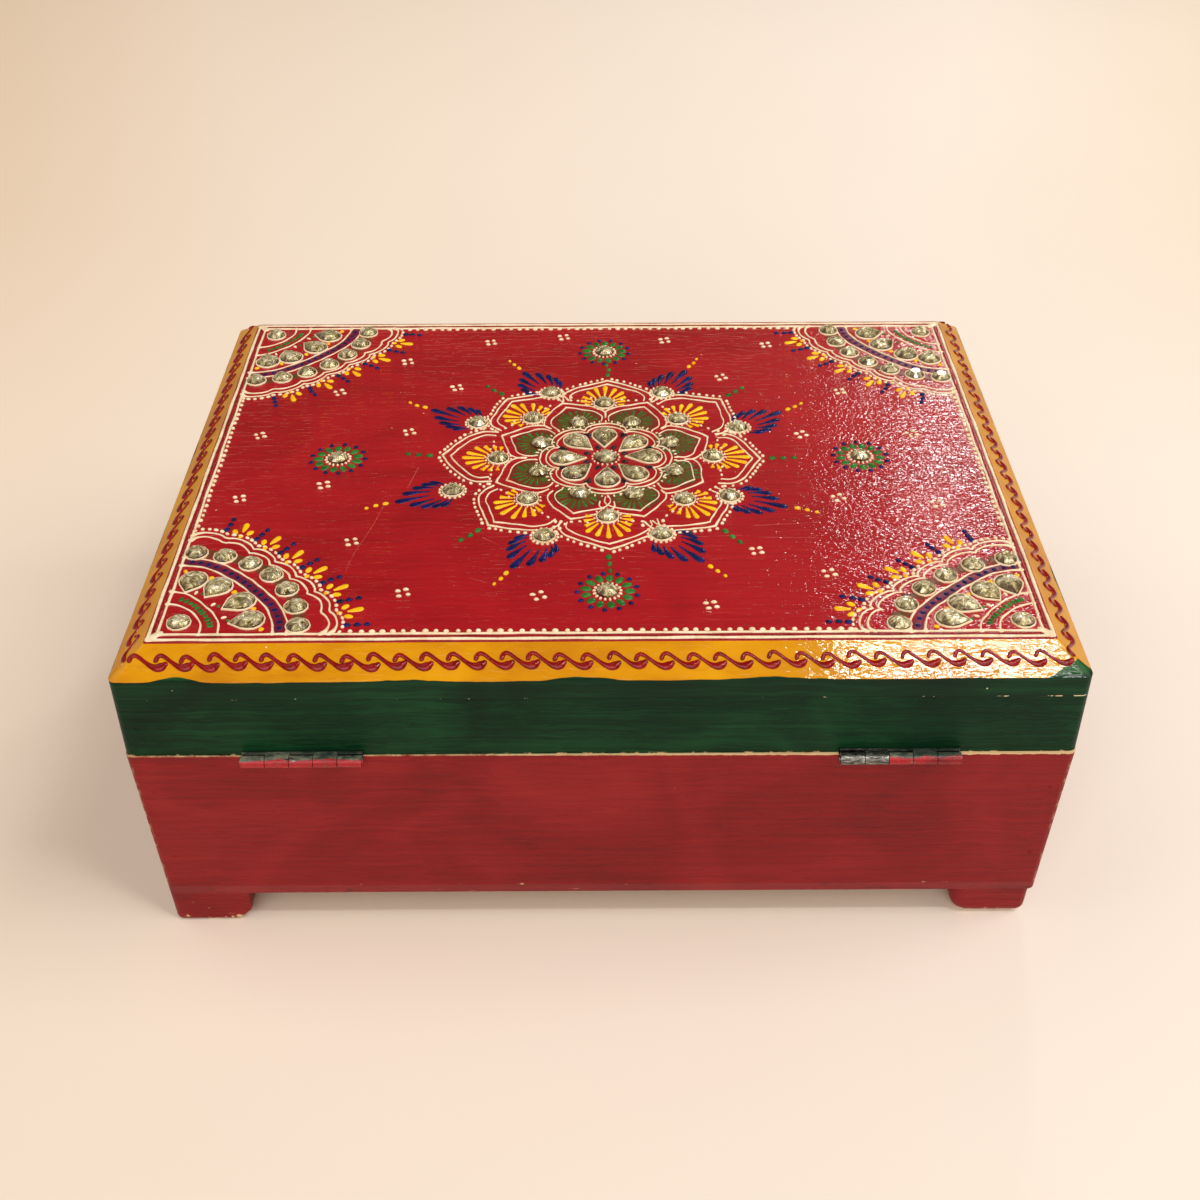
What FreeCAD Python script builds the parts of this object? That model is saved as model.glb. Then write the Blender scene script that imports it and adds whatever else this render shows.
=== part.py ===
import FreeCAD, Part
import math
import os

import Sketcher

# Painted wooden keepsake chest with a hinged lid, in millimetres.
# X runs left to right, the front faces -Y, the hinges are at +Y, the feet stand on Z = 0.

Vector = FreeCAD.Vector
Placement = FreeCAD.Placement
Rotation = FreeCAD.Rotation

SIZES = [
    # Outer form
    ("lid_length", 254.0, "outer length of the lid, left to right"),
    ("lid_depth", 195.0, "outer depth of the lid, front to back"),
    ("foot_height", 12.0, "height of the four corner feet"),
    ("plywood_thickness", 3.0, "thickness of the plywood bottom"),
    ("wall_height", 52.0, "height of the base boards above the plywood"),
    ("wall_thickness", 10.0, "thickness of the base boards"),
    ("wall_lean", 1.9, "how far a base board leans in over its own height"),
    ("rim_reveal", 0.6, "how far the base's rim stands proud of the lid at front and back"),
    ("rail_height", 19.5, "height of the rails under the top board"),
    ("rail_thickness", 10.0, "thickness of the lid's rails"),
    ("board_edge", 6.0, "height of the top board's square edge"),
    ("bevel_drop", 6.0, "height of the top board's bevel"),
    ("bevel_run", 8.5, "width of the top board's bevel, seen from above"),
    ("corner_radius", 2.2, "rounding of the upright corners"),
    ("field_corner_radius", 0.6, "rounding of the corners of the flat field on top"),
    # Feet
    ("foot_length", 23.0, "size of a foot along X"),
    ("foot_depth", 18.0, "size of a foot along Y"),
    ("foot_chamfer", 4.8, "chamfer of a foot's two inner lower edges"),
    ("foot_bulge", 5.5, "rounding that one worn foot has in place of the chamfer"),
    ("foot_edge_radius", 1.6, "rounding of a foot's outer lower edges"),
    ("worn_edge_radius", 3.6, "the same rounding on the worn foot"),
    ("foot_inset", 0.9, "how far the worn foot stands inside the others' line"),
    # Lining
    ("liner_thickness", 1.0, "thickness of the velvet-covered card"),
    ("liner_clearance", 0.2, "room at the ends of each lining card"),
    ("liner_rim_gap", 1.0, "how far the lining stops short of the seam"),
    # Hinges
    ("hinge_end_margin", 31.5, "distance from a hinge to the end of the chest"),
    ("hinge_length", 32.0, "length of a hinge along its pin"),
    ("knuckle_count", 5.0, "knuckles in one hinge"),
    ("knuckle_radius", 1.65, "outer radius of the knuckles"),
    ("knuckle_gap", 0.2, "gap between two knuckles"),
    ("leaf_thickness", 0.9, "thickness of a hinge leaf"),
    ("leaf_reach", 10.5, "reach of a leaf from the hinge's axis"),
    ("leaf_relief", 0.35, "room between a knuckle and the other leaf's slot"),
    ("hinge_standoff", 0.35, "room between the knuckles and the rim's back face"),
    ("hinge_pin_radius", 0.8, "radius of the hinge pin"),
    ("hinge_pin_clearance", 0.05, "running clearance round the hinge pin"),
    ("hinge_pin_overhang", 0.4, "how far the pin stands out of each end of the hinge"),
    ("mortise_clearance", 0.15, "room round a leaf in its mortise"),
    # Screws in the hinge leaves
    ("screw_end_margin", 6.0, "distance from a leaf's end to its nearer screw"),
    ("screw_reach", 6.2, "distance from the hinge's axis to the screws"),
    ("screw_head_radius", 2.0, "radius of the countersunk head"),
    ("screw_shank_radius", 1.1, "radius of the shank"),
    ("screw_length", 9.0, "length of the screw"),
    ("screw_tip", 2.0, "length of the screw's point"),
    ("screw_slot_width", 0.5, "width of the slot in the head"),
    ("screw_slot_depth", 0.4, "depth of the slot in the head"),
    ("fastener_clearance", 0.05, "room round a screw or nail in its hole"),
    # Nails
    ("brad_radius", 0.7, "radius of the headless nails at the corners"),
    ("brad_length", 22.0, "length of the corner nails"),
    ("brad_tip", 1.5, "length of a corner nail's point"),
    ("brad_sink", 0.1, "how far a nail's head is sunk below the surface"),
    ("tack_head_radius", 1.8, "radius of a bottom tack's head"),
    ("tack_head_height", 0.8, "height of a bottom tack's head"),
    ("tack_radius", 0.7, "radius of a bottom tack's shank"),
    ("tack_length", 14.0, "length of a bottom tack"),
    # Latch on the front
    ("latch_arm", 16.0, "distance from the hook's pivot to the peg"),
    ("latch_pivot_rise", 8.0, "height of the hook's pivot above the seam"),
    ("latch_thickness", 1.0, "thickness of the hook"),
    ("latch_eye_radius", 3.4, "radius of the hook's upper end"),
    ("latch_tip_radius", 4.6, "radius of the hook's lower end"),
    ("latch_spacer_thickness", 1.0, "thickness of the washer behind the hook"),
    ("latch_play", 0.1, "play of the hook along its pivot"),
    ("latch_rest_angle", 60.0, "how far the hook is turned aside at rest, in degrees"),
    ("pivot_radius", 1.3, "radius of the hook's pivot screw"),
    ("pivot_clearance", 0.05, "running clearance round the pivot screw"),
    ("pivot_embed", 8.0, "length of the pivot screw and peg in the wood"),
    ("peg_radius", 1.3, "radius of the peg's neck"),
    ("peg_clearance", 0.35, "room round the peg in the hook's mouth"),
    ("peg_head_gap", 0.3, "room between the hook and the peg's head"),
    ("knob_radius", 2.7, "radius of the round heads of pivot screw and peg"),
    ("knob_height", 1.4, "height of those round heads"),
    ("mouth_flare", 1.1, "how much wider the hook's mouth is at its opening"),
    # Ornament on the flat field
    ("ornament_shift_x", -2.0, "place of the middle flower's centre along X"),
    ("ornament_shift_y", -0.4, "place of the middle flower's centre along Y"),
    ("hand_wander", 0.35, "how far the stones stray from their even places"),
    ("stone_girdle", 0.7, "height of a stone's upright edge"),
    ("stone_height", 1.9, "height of a stone"),
    ("round_stone_radius", 2.9, "radius of the round stones"),
    ("centre_stone_radius", 3.4, "radius of the stone in the middle"),
    ("petal_drop_width", 6.8, "width of the drop stones of the middle flower"),
    ("petal_drop_length", 10.2, "length of the drop stones of the middle flower"),
    ("corner_drop_width", 7.0, "width of the drop stones of the corner fans"),
    ("corner_drop_length", 8.8, "length of the drop stones of the corner fans"),
    ("petal_ring", 13.0, "radius of the ring of drop stones"),
    ("inner_ring", 21.9, "radius of the ring of stones in the inner petals"),
    ("outer_ring", 32.4, "radius of the ring of stones in the outer petals"),
    ("spray_ring", 44.6, "radius of the ring of stones under the leaf sprays"),
    ("rosette_reach_x", 79.4, "distance of the side rosettes from the field's middle"),
    ("rosette_reach_y", 67.6, "distance of the front and back rosettes from the field's middle"),
    ("frame_inset_x", 2.8, "distance of the inner frame line from the field's left and right edge"),
    ("frame_inset_y", 3.8, "distance of the inner frame line from the field's front and back edge"),
    ("fan_apex", 4.7, "place of a fan's apex stone from the frame lines"),
    ("fan_drop_ring", 24.0, "radius of a fan's ring of drop stones"),
    ("fan_round_ring", 36.4, "radius of a fan's ring of round stones"),
    # Working value
    ("overrun", 1.0, "how far a cutting solid reaches past the face it cuts"),
]

PETALS = 8
ROUND_STONE_SIDES = 12
DROP_ARC_STEPS = 11
FAN_ROUND_COUNT = 7
SQUEEZED_FAN_SIDES = (-1, 1)
SQUEEZED_FAN_ROUND_COUNT = 6
FULL_TURN = 360.0
QUARTER_TURN = 90.0

# Shares of the named sizes
TABLE_SHARE = 0.56
FAN_DROP_ANGLE_SHARES = (0.15, 0.39, 0.66, 0.87)
FAN_ROUND_MARGIN_SHARE = 0.055
SQUEEZED_FAN_SHARES = (1.03, 0.87)
SQUEEZED_DIAGONAL_SHARE = 0.94
SPRAY_STRAY_SHARES = (
    (0.09, -0.025), (0.015, 0.0), (-0.005, -0.05), (-0.055, -0.18),
    (0.0, -0.01), (-0.025, -0.05), (-0.035, 0.02), (0.005, -0.10))
BASE_BRAD_HEIGHT_SHARES = (0.25, 0.75)
LID_BRAD_HEIGHT_SHARES = (0.5,)
LONG_TACK_SHARES = (-0.6, 0.0, 0.6)
SIDE_TACK_SHARES = (-0.5, 0.5)

FLOOR_TOP = "(sizes.foot_height + sizes.plywood_thickness)"
RIM = "(sizes.foot_height + sizes.plywood_thickness + sizes.wall_height)"
BOARD_UNDERSIDE = f"({RIM} + sizes.rail_height)"
FIELD = f"({BOARD_UNDERSIDE} + sizes.board_edge + sizes.bevel_drop)"
HINGE_X = "(sizes.lid_length / 2 - sizes.hinge_end_margin - sizes.hinge_length / 2)"
HINGE_Y = "(sizes.lid_depth / 2 + sizes.rim_reveal + sizes.hinge_standoff + sizes.knuckle_radius)"
LATCH_PLATE = "(sizes.lid_depth / 2 + sizes.latch_spacer_thickness + sizes.latch_play)"

doc = FreeCAD.newDocument("keepsake_chest")
sheet = doc.addObject("Spreadsheet::Sheet", "sizes")
nodes = []


def fill_sheet():
    """Write every size into the sheet under its own name."""
    for row, (alias, value, meaning) in enumerate(SIZES, start=1):
        sheet.set(f"A{row}", meaning)
        sheet.set(f"B{row}", str(value))
        sheet.setAlias(f"B{row}", alias)
    doc.recompute()


def measure(expression):
    """Value of an expression on the size sheet."""
    return float(sheet.evalExpression(expression))


def size(alias):
    """Value of one size."""
    return measure(f"sizes.{alias}")


def negative(expression):
    return f"(0 - {expression})"


def bind(feature, bindings):
    """Tie a feature's properties to expressions."""
    for name, expression in bindings.items():
        feature.setExpression(name, expression)


def place(feature, x=None, y=None, z=None, rotation=Rotation()):
    """Turn a feature and tie its place to expressions."""
    feature.Placement = Placement(Vector(0, 0, 0), rotation)
    for axis, expression in (("x", x), ("y", y), ("z", z)):
        if expression is not None:
            feature.setExpression(f"Placement.Base.{axis}", expression)


def finish(feature, label):
    """Name a finished sub-part."""
    feature.Label = label
    nodes.append(feature)
    return feature


# Boards

STANDING = Rotation(Vector(1, 1, 1), 120)


def lean_in(drop):
    """How far the base's outer faces have come in at a drop below the rim."""
    return f"(sizes.wall_lean * {drop} / sizes.wall_height)"


def base_half_length(drop):
    return f"(sizes.lid_length / 2 - {lean_in(drop)})"


def base_half_depth(drop):
    return f"(sizes.lid_depth / 2 + sizes.rim_reveal - {lean_in(drop)})"


def between(half):
    """Range that is even about the middle."""
    return (negative(half), half)


def strip(outer_half, thickness, side):
    """Range from a face on one side of the middle to one thickness inside it."""
    if side > 0:
        return (f"({outer_half} - {thickness})", outer_half)
    return (negative(outer_half), f"({thickness} - {outer_half})")


def leaning_block(name, low_z, high_z, low_x, high_x, low_y, high_y):
    """Body between two levels, with its own X and Y range at each level.

    The wedge's own X, Y and Z stand for the chest's Y, Z and X.
    """
    body = doc.addObject("PartDesign::Body", name)
    body.Placement = Placement(Vector(0, 0, 0), STANDING)
    wedge = body.newObject("PartDesign::AdditiveWedge", name + "_wedge")
    bind(wedge, {
        "Ymin": low_z, "Ymax": high_z,
        "Xmin": low_y[0], "Xmax": low_y[1],
        "X2min": high_y[0], "X2max": high_y[1],
        "Zmin": low_x[0], "Zmax": low_x[1],
        "Z2min": high_x[0], "Z2max": high_x[1],
    })
    body.Tip = wedge
    return body


def edge_names(body, keep):
    """Names of the last feature's edges whose two ends pass a test in the chest's frame."""
    doc.recompute()
    names = []
    for number, edge in enumerate(body.Tip.Shape.Edges, start=1):
        start = body.Placement.multVec(edge.Vertexes[0].Point)
        end = body.Placement.multVec(edge.Vertexes[-1].Point)
        if keep(start, end):
            names.append(f"Edge{number}")
    return names


def dress_edges(body, kind, keep, bindings):
    """Add a fillet or chamfer to the edges that pass a test."""
    base = body.Tip
    names = edge_names(body, keep)
    feature = body.newObject(f"PartDesign::{kind}", f"{body.Name}_{kind.lower()}")
    feature.Base = (base, names)
    bind(feature, bindings)
    body.Tip = feature
    return feature


def is_upright(start, end):
    """True for an edge that climbs more than it runs."""
    climb = abs(end.z - start.z)
    return climb > abs(end.x - start.x) and climb > abs(end.y - start.y)


def round_outer_corners(body, side):
    """Round the two upright corners on a board's outer face."""
    middle = body_centre(body).y

    def keep(start, end):
        return is_upright(start, end) and (start.y - middle) * side > 0

    dress_edges(body, "Fillet", keep, {"Radius": "sizes.corner_radius"})


def body_centre(body):
    doc.recompute()
    return body.Shape.BoundBox.Center


def base_boards():
    """Front and back boards run the full length; the side boards fit between them."""
    drop = "sizes.wall_height"
    boards = {}
    for label, side in (("base_front_board", -1), ("base_back_board", 1)):
        board = leaning_block(
            label + "_blank", FLOOR_TOP, RIM,
            between(base_half_length(drop)), between(base_half_length("0")),
            strip(base_half_depth(drop), "sizes.wall_thickness", side),
            strip(base_half_depth("0"), "sizes.wall_thickness", side))
        round_outer_corners(board, side)
        boards[label] = board
    for label, side in (("base_left_board", -1), ("base_right_board", 1)):
        boards[label] = leaning_block(
            label + "_blank", FLOOR_TOP, RIM,
            strip(base_half_length(drop), "sizes.wall_thickness", side),
            strip(base_half_length("0"), "sizes.wall_thickness", side),
            between(f"({base_half_depth(drop)} - sizes.wall_thickness)"),
            between(f"({base_half_depth('0')} - sizes.wall_thickness)"))
    return boards


def bottom_panel():
    """Plywood sheet nailed under the boards, its edges in line with their faces."""
    low_drop = "(sizes.wall_height + sizes.plywood_thickness)"
    panel = leaning_block(
        "bottom_plywood_blank", "sizes.foot_height", FLOOR_TOP,
        between(base_half_length(low_drop)), between(base_half_length("sizes.wall_height")),
        between(base_half_depth(low_drop)), between(base_half_depth("sizes.wall_height")))
    dress_edges(panel, "Fillet", is_upright, {"Radius": "sizes.corner_radius"})
    return panel


def lid_rails():
    """Upright rails under the top board, laid out as the base boards are."""
    half_length = "(sizes.lid_length / 2)"
    half_depth = "(sizes.lid_depth / 2)"
    rails = {}
    for label, side in (("lid_front_rail", -1), ("lid_back_rail", 1)):
        depth = strip(half_depth, "sizes.rail_thickness", side)
        length = between(half_length)
        rail = leaning_block(label + "_blank", RIM, BOARD_UNDERSIDE, length, length, depth, depth)
        round_outer_corners(rail, side)
        rails[label] = rail
    for label, side in (("lid_left_rail", -1), ("lid_right_rail", 1)):
        length = strip(half_length, "sizes.rail_thickness", side)
        depth = between(f"({half_depth} - sizes.rail_thickness)")
        rails[label] = leaning_block(
            label + "_blank", RIM, BOARD_UNDERSIDE, length, length, depth, depth)
    return rails


def rounded_rectangle(sketch, length, depth, radius):
    """Rectangle with rounded corners, even about the sketch's origin and tied to the sheet."""
    half_x = measure(length) / 2
    half_y = measure(depth) / 2
    corner = measure(radius)
    flat_x = half_x - corner
    flat_y = half_y - corner
    lines = [
        ((-flat_x, -half_y), (flat_x, -half_y)),
        ((half_x, -flat_y), (half_x, flat_y)),
        ((flat_x, half_y), (-flat_x, half_y)),
        ((-half_x, flat_y), (-half_x, -flat_y)),
    ]
    centres = [(flat_x, -flat_y), (flat_x, flat_y), (-flat_x, flat_y), (-flat_x, -flat_y)]
    for start, end in lines:
        sketch.addGeometry(Part.LineSegment(Vector(*start, 0), Vector(*end, 0)), False)
    for turn, centre in enumerate(centres, start=-1):
        circle = Part.Circle(Vector(*centre, 0), Vector(0, 0, 1), corner)
        begin = turn * math.pi / 2
        sketch.addGeometry(Part.ArcOfCircle(circle, begin, begin + math.pi / 2), False)
    for side in range(4):
        arc = 4 + side
        sketch.addConstraint(Sketcher.Constraint("Tangent", side, 2, arc, 1))
        sketch.addConstraint(Sketcher.Constraint("Tangent", arc, 2, (side + 1) % 4, 1))
    for side, kind in ((0, "Horizontal"), (1, "Vertical"), (2, "Horizontal"), (3, "Vertical")):
        sketch.addConstraint(Sketcher.Constraint(kind, side))
    for arc in (5, 6):
        sketch.addConstraint(Sketcher.Constraint("Equal", 4, arc))
    sketch.addConstraint(Sketcher.Constraint("Symmetric", 4, 3, 6, 3, -1, 1))
    driving = [
        ("length", Sketcher.Constraint("DistanceX", 3, 1, 1, 1, 2 * half_x), length),
        ("depth", Sketcher.Constraint("DistanceY", 0, 1, 2, 1, 2 * half_y), depth),
        ("radius", Sketcher.Constraint("Radius", 4, corner), radius),
    ]
    drive(sketch, driving)


def drive(sketch, driving):
    """Add driving dimensions to a sketch and tie each to its expression."""
    for name, constraint, expression in driving:
        index = sketch.addConstraint(constraint)
        sketch.renameConstraint(index, name)
        sketch.setExpression(f"Constraints.{name}", expression)


def attach(body, name, plane_role):
    """Sketch on one of the body's own origin planes."""
    sketch = body.newObject("Sketcher::SketchObject", name)
    plane = [item for item in body.Origin.OriginFeatures if item.Role == plane_role][0]
    sketch.AttachmentSupport = [(plane, "")]
    sketch.MapMode = "FlatFace"
    return sketch


def top_board():
    """Board with a square edge below and a wide bevel up to the flat field."""
    body = doc.addObject("PartDesign::Body", "lid_top_board_body")
    place(body, z=BOARD_UNDERSIDE)
    outline = attach(body, "board_outline", "XY_Plane")
    rounded_rectangle(outline, "sizes.lid_length", "sizes.lid_depth", "sizes.corner_radius")
    slab = body.newObject("PartDesign::Pad", "board_slab")
    slab.Profile = outline
    bind(slab, {"Length": "sizes.board_edge"})
    shoulder = attach(body, "bevel_foot", "XY_Plane")
    rounded_rectangle(shoulder, "sizes.lid_length", "sizes.lid_depth", "sizes.corner_radius")
    bind(shoulder, {"AttachmentOffset.Base.z": "sizes.board_edge"})
    field = attach(body, "field_outline", "XY_Plane")
    rounded_rectangle(field, "(sizes.lid_length - 2 * sizes.bevel_run)",
                      "(sizes.lid_depth - 2 * sizes.bevel_run)", "sizes.field_corner_radius")
    bind(field, {"AttachmentOffset.Base.z": "(sizes.board_edge + sizes.bevel_drop)"})
    bevel = body.newObject("PartDesign::AdditiveLoft", "board_bevel")
    bevel.Profile = shoulder
    bevel.Sections = [field]
    bevel.Ruled = True
    body.Tip = bevel
    return finish(body, "lid_top_board")


# Feet

def foot(label, x_side, y_side, worn):
    """Corner block that carries on the lean of the boards above it."""
    inset = "sizes.foot_inset" if worn else "0"
    high_drop = "(sizes.wall_height + sizes.plywood_thickness)"
    low_drop = f"({high_drop} + sizes.foot_height)"
    inner_x = f"({base_half_length(high_drop)} - sizes.foot_length)"
    inner_y = f"({base_half_depth(high_drop)} - sizes.foot_depth)"
    ranges = []
    for half, inner, side in ((base_half_length, inner_x, x_side), (base_half_depth, inner_y, y_side)):
        for drop in (low_drop, high_drop):
            outer = f"({half(drop)} - {inset})"
            if side > 0:
                ranges.append((inner, outer))
            else:
                ranges.append((negative(outer), negative(inner)))
    body = leaning_block(label + "_body", "0", "sizes.foot_height", *ranges)
    centre = body_centre(body)

    def is_outer_corner(start, end):
        outer = (start.x - centre.x) * x_side > 0 and (start.y - centre.y) * y_side > 0
        return is_upright(start, end) and outer

    def is_inner_sole_edge(start, end):
        level = start.z < centre.z and end.z < centre.z
        inner_side = both_beyond(start.x, end.x, centre.x, -x_side)
        inner_end = both_beyond(start.y, end.y, centre.y, -y_side)
        return level and (inner_side or inner_end)

    def is_outer_sole_edge(start, end):
        level = start.z < centre.z and end.z < centre.z
        outer_side = both_beyond(start.x, end.x, centre.x, x_side)
        outer_end = both_beyond(start.y, end.y, centre.y, y_side)
        return level and outer_side and outer_end

    dress_edges(body, "Fillet", is_outer_corner, {"Radius": "sizes.corner_radius"})
    if worn:
        dress_edges(body, "Fillet", is_inner_sole_edge, {"Radius": "sizes.foot_bulge"})
    else:
        dress_edges(body, "Chamfer", is_inner_sole_edge, {"Size": "sizes.foot_chamfer"})
    edge_radius = "sizes.worn_edge_radius" if worn else "sizes.foot_edge_radius"
    dress_edges(body, "Fillet", is_outer_sole_edge, {"Radius": edge_radius})
    return finish(body, label)


def both_beyond(first, second, middle, side):
    return (first - middle) * side > 0 and (second - middle) * side > 0


def feet():
    foot("foot_front_left", -1, -1, worn=False)
    foot("foot_front_right", 1, -1, worn=False)
    foot("foot_back_left", -1, 1, worn=True)
    foot("foot_back_right", 1, 1, worn=False)


# Lining

def base_lining():
    """Cards on the floor and against each board, following the boards' lean."""
    floor_drop = "sizes.wall_height"
    low_drop = "(sizes.wall_height - sizes.liner_thickness)"
    high_drop = "sizes.liner_rim_gap"
    low_z = f"({FLOOR_TOP} + sizes.liner_thickness)"
    high_z = f"({RIM} - sizes.liner_rim_gap)"

    def half_length(drop):
        return f"({base_half_length(drop)} - sizes.wall_thickness)"

    def half_depth(drop):
        return f"({base_half_depth(drop)} - sizes.wall_thickness)"

    def with_room(half):
        return between(f"({half} - sizes.liner_clearance)")

    floor = leaning_block(
        "floor_liner_body", FLOOR_TOP, low_z,
        with_room(half_length(floor_drop)), with_room(half_length(low_drop)),
        with_room(half_depth(floor_drop)), with_room(half_depth(low_drop)))
    finish(floor, "floor_liner")
    for label, side in (("front_wall_liner", -1), ("back_wall_liner", 1)):
        card = leaning_block(
            label + "_body", low_z, high_z,
            with_room(half_length(low_drop)), with_room(half_length(high_drop)),
            strip(half_depth(low_drop), "sizes.liner_thickness", side),
            strip(half_depth(high_drop), "sizes.liner_thickness", side))
        finish(card, label)
    for label, side in (("left_wall_liner", -1), ("right_wall_liner", 1)):
        card = leaning_block(
            label + "_body", low_z, high_z,
            strip(half_length(low_drop), "sizes.liner_thickness", side),
            strip(half_length(high_drop), "sizes.liner_thickness", side),
            with_room(f"({half_depth(low_drop)} - sizes.liner_thickness)"),
            with_room(f"({half_depth(high_drop)} - sizes.liner_thickness)"))
        finish(card, label)


def lid_lining():
    """Cards under the top board and against each rail."""
    half_length = "(sizes.lid_length / 2 - sizes.rail_thickness)"
    half_depth = "(sizes.lid_depth / 2 - sizes.rail_thickness)"
    low_z = f"({RIM} + sizes.liner_rim_gap)"
    high_z = f"({BOARD_UNDERSIDE} - sizes.liner_thickness)"
    length = between(f"({half_length} - sizes.liner_clearance)")
    depth = between(f"({half_depth} - sizes.liner_clearance)")
    ceiling = leaning_block(
        "lid_liner_body", high_z, BOARD_UNDERSIDE, length, length, depth, depth)
    finish(ceiling, "lid_liner")
    for label, side in (("lid_front_liner", -1), ("lid_back_liner", 1)):
        card_depth = strip(half_depth, "sizes.liner_thickness", side)
        card = leaning_block(
            label + "_body", low_z, high_z, length, length, card_depth, card_depth)
        finish(card, label)
    card_depth = between(f"({half_depth} - sizes.liner_thickness - sizes.liner_clearance)")
    for label, side in (("lid_left_liner", -1), ("lid_right_liner", 1)):
        card_length = strip(half_length, "sizes.liner_thickness", side)
        card = leaning_block(
            label + "_body", low_z, high_z, card_length, card_length, card_depth, card_depth)
        finish(card, label)


# Fasteners

def cylinder(name, radius, height, z="0"):
    feature = doc.addObject("Part::Cylinder", name)
    bind(feature, {"Radius": radius, "Height": height})
    place(feature, z=z)
    return feature


def cone(name, low_radius, high_radius, height, z="0"):
    feature = doc.addObject("Part::Cone", name)
    bind(feature, {"Radius1": low_radius, "Radius2": high_radius, "Height": height})
    place(feature, z=z)
    return feature


def fuse(name, pieces):
    feature = doc.addObject("Part::MultiFuse", name)
    feature.Shapes = pieces
    return feature


def cut(name, base, tool):
    feature = doc.addObject("Part::Cut", name)
    feature.Base = base
    feature.Tool = tool
    return feature


def hinge_screw():
    """Countersunk slotted wood screw, its head level with Z = 0 and its point downwards."""
    head = cone("screw_head", "sizes.screw_shank_radius", "sizes.screw_head_radius",
                "sizes.leaf_thickness", negative("sizes.leaf_thickness"))
    shank = cylinder("screw_shank", "sizes.screw_shank_radius",
                     "(sizes.screw_length - sizes.screw_tip - sizes.leaf_thickness)",
                     "(sizes.screw_tip - sizes.screw_length)")
    tip = cone("screw_point", "0", "sizes.screw_shank_radius", "sizes.screw_tip",
               negative("sizes.screw_length"))
    slot = doc.addObject("Part::Box", "screw_slot")
    bind(slot, {"Length": "(2 * sizes.screw_head_radius + 2 * sizes.overrun)",
                "Width": "sizes.screw_slot_width",
                "Height": "(sizes.screw_slot_depth + sizes.overrun)"})
    place(slot, x="(0 - sizes.screw_head_radius - sizes.overrun)",
          y="(0 - sizes.screw_slot_width / 2)", z=negative("sizes.screw_slot_depth"))
    return cut("hinge_screw", fuse("screw_blank", [head, shank, tip]), slot)


def hinge_screw_seat():
    """Countersink and pilot hole for one hinge screw, with room round it."""
    grown_head = "(sizes.screw_head_radius + sizes.fastener_clearance)"
    grown_shank = "(sizes.screw_shank_radius + sizes.fastener_clearance)"
    mouth = cylinder("screw_mouth", grown_head, "sizes.overrun")
    head = cone("screw_countersink", grown_shank, grown_head, "sizes.leaf_thickness",
                negative("sizes.leaf_thickness"))
    depth = "(sizes.screw_length + sizes.fastener_clearance)"
    shank = cylinder("screw_pilot", grown_shank, f"({depth} - sizes.leaf_thickness)", negative(depth))
    return fuse("hinge_screw_seat", [mouth, head, shank])


def brad():
    """Headless nail, its top at Z = 0 and its point downwards."""
    shank = cylinder("brad_shank", "sizes.brad_radius", "(sizes.brad_length - sizes.brad_tip)",
                     "(sizes.brad_tip - sizes.brad_length)")
    tip = cone("brad_point", "0", "sizes.brad_radius", "sizes.brad_tip",
               negative("sizes.brad_length"))
    return fuse("brad", [shank, tip])


def brad_seat():
    """Hole for one headless nail, open at the surface."""
    depth = "(sizes.brad_length + sizes.fastener_clearance)"
    return cylinder("brad_seat", "(sizes.brad_radius + sizes.fastener_clearance)",
                    f"({depth} + sizes.brad_sink + sizes.overrun)", negative(depth))


def tack():
    """Flat-headed tack, its head's face at Z = 0 and its point downwards."""
    head = cylinder("tack_head", "sizes.tack_head_radius", "sizes.tack_head_height",
                    negative("sizes.tack_head_height"))
    shank = cylinder("tack_shank", "sizes.tack_radius",
                     "(sizes.tack_length - sizes.brad_tip - sizes.tack_head_height)",
                     "(sizes.brad_tip - sizes.tack_length)")
    tip = cone("tack_point", "0", "sizes.tack_radius", "sizes.brad_tip",
               negative("sizes.tack_length"))
    return fuse("tack", [head, shank, tip])


def tack_seat():
    """Recess and hole for one tack."""
    recess_depth = "(sizes.tack_head_height + sizes.fastener_clearance)"
    recess = cylinder("tack_recess", "(sizes.tack_head_radius + sizes.fastener_clearance)",
                      f"({recess_depth} + sizes.overrun)", negative(recess_depth))
    depth = "(sizes.tack_length + sizes.fastener_clearance)"
    hole = cylinder("tack_hole", "(sizes.tack_radius + sizes.fastener_clearance)", depth,
                    negative(depth))
    return fuse("tack_seat", [recess, hole])


def group(name, pattern, placements):
    """Separate copies of one solid in one feature."""
    doc.recompute()
    copies = []
    for placement in placements:
        copy = pattern.Shape.copy()
        copy.Placement = placement.multiply(copy.Placement)
        copies.append(copy)
    feature = doc.addObject("Part::Feature", name)
    feature.Shape = Part.makeCompound(copies)
    return feature


def aim(x, y, z, direction):
    """Placement that points a fastener's length along a direction."""
    return Placement(Vector(x, y, z), Rotation(Vector(0, 0, -1), direction))


def corner_brad_places(half_length, half_depth, thickness, levels):
    """Nails driven from the front and the back into the ends of the side pieces.

    Each level is a drop below the rim, as an expression, and the height it stands at.
    """
    places = []
    for drop, height in levels:
        x = measure(f"({half_length(drop)} - {thickness} / 2)")
        y = measure(f"({half_depth(drop)} - sizes.brad_sink)")
        for x_side in (-1, 1):
            for y_side in (-1, 1):
                places.append(aim(x_side * x, y_side * y, height, Vector(0, -y_side, 0)))
    return places


def base_brad_places():
    levels = []
    for share in BASE_BRAD_HEIGHT_SHARES:
        drop = f"({share} * sizes.wall_height)"
        levels.append((drop, measure(f"({RIM} - {drop})")))
    return corner_brad_places(base_half_length, base_half_depth, "sizes.wall_thickness", levels)


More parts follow.
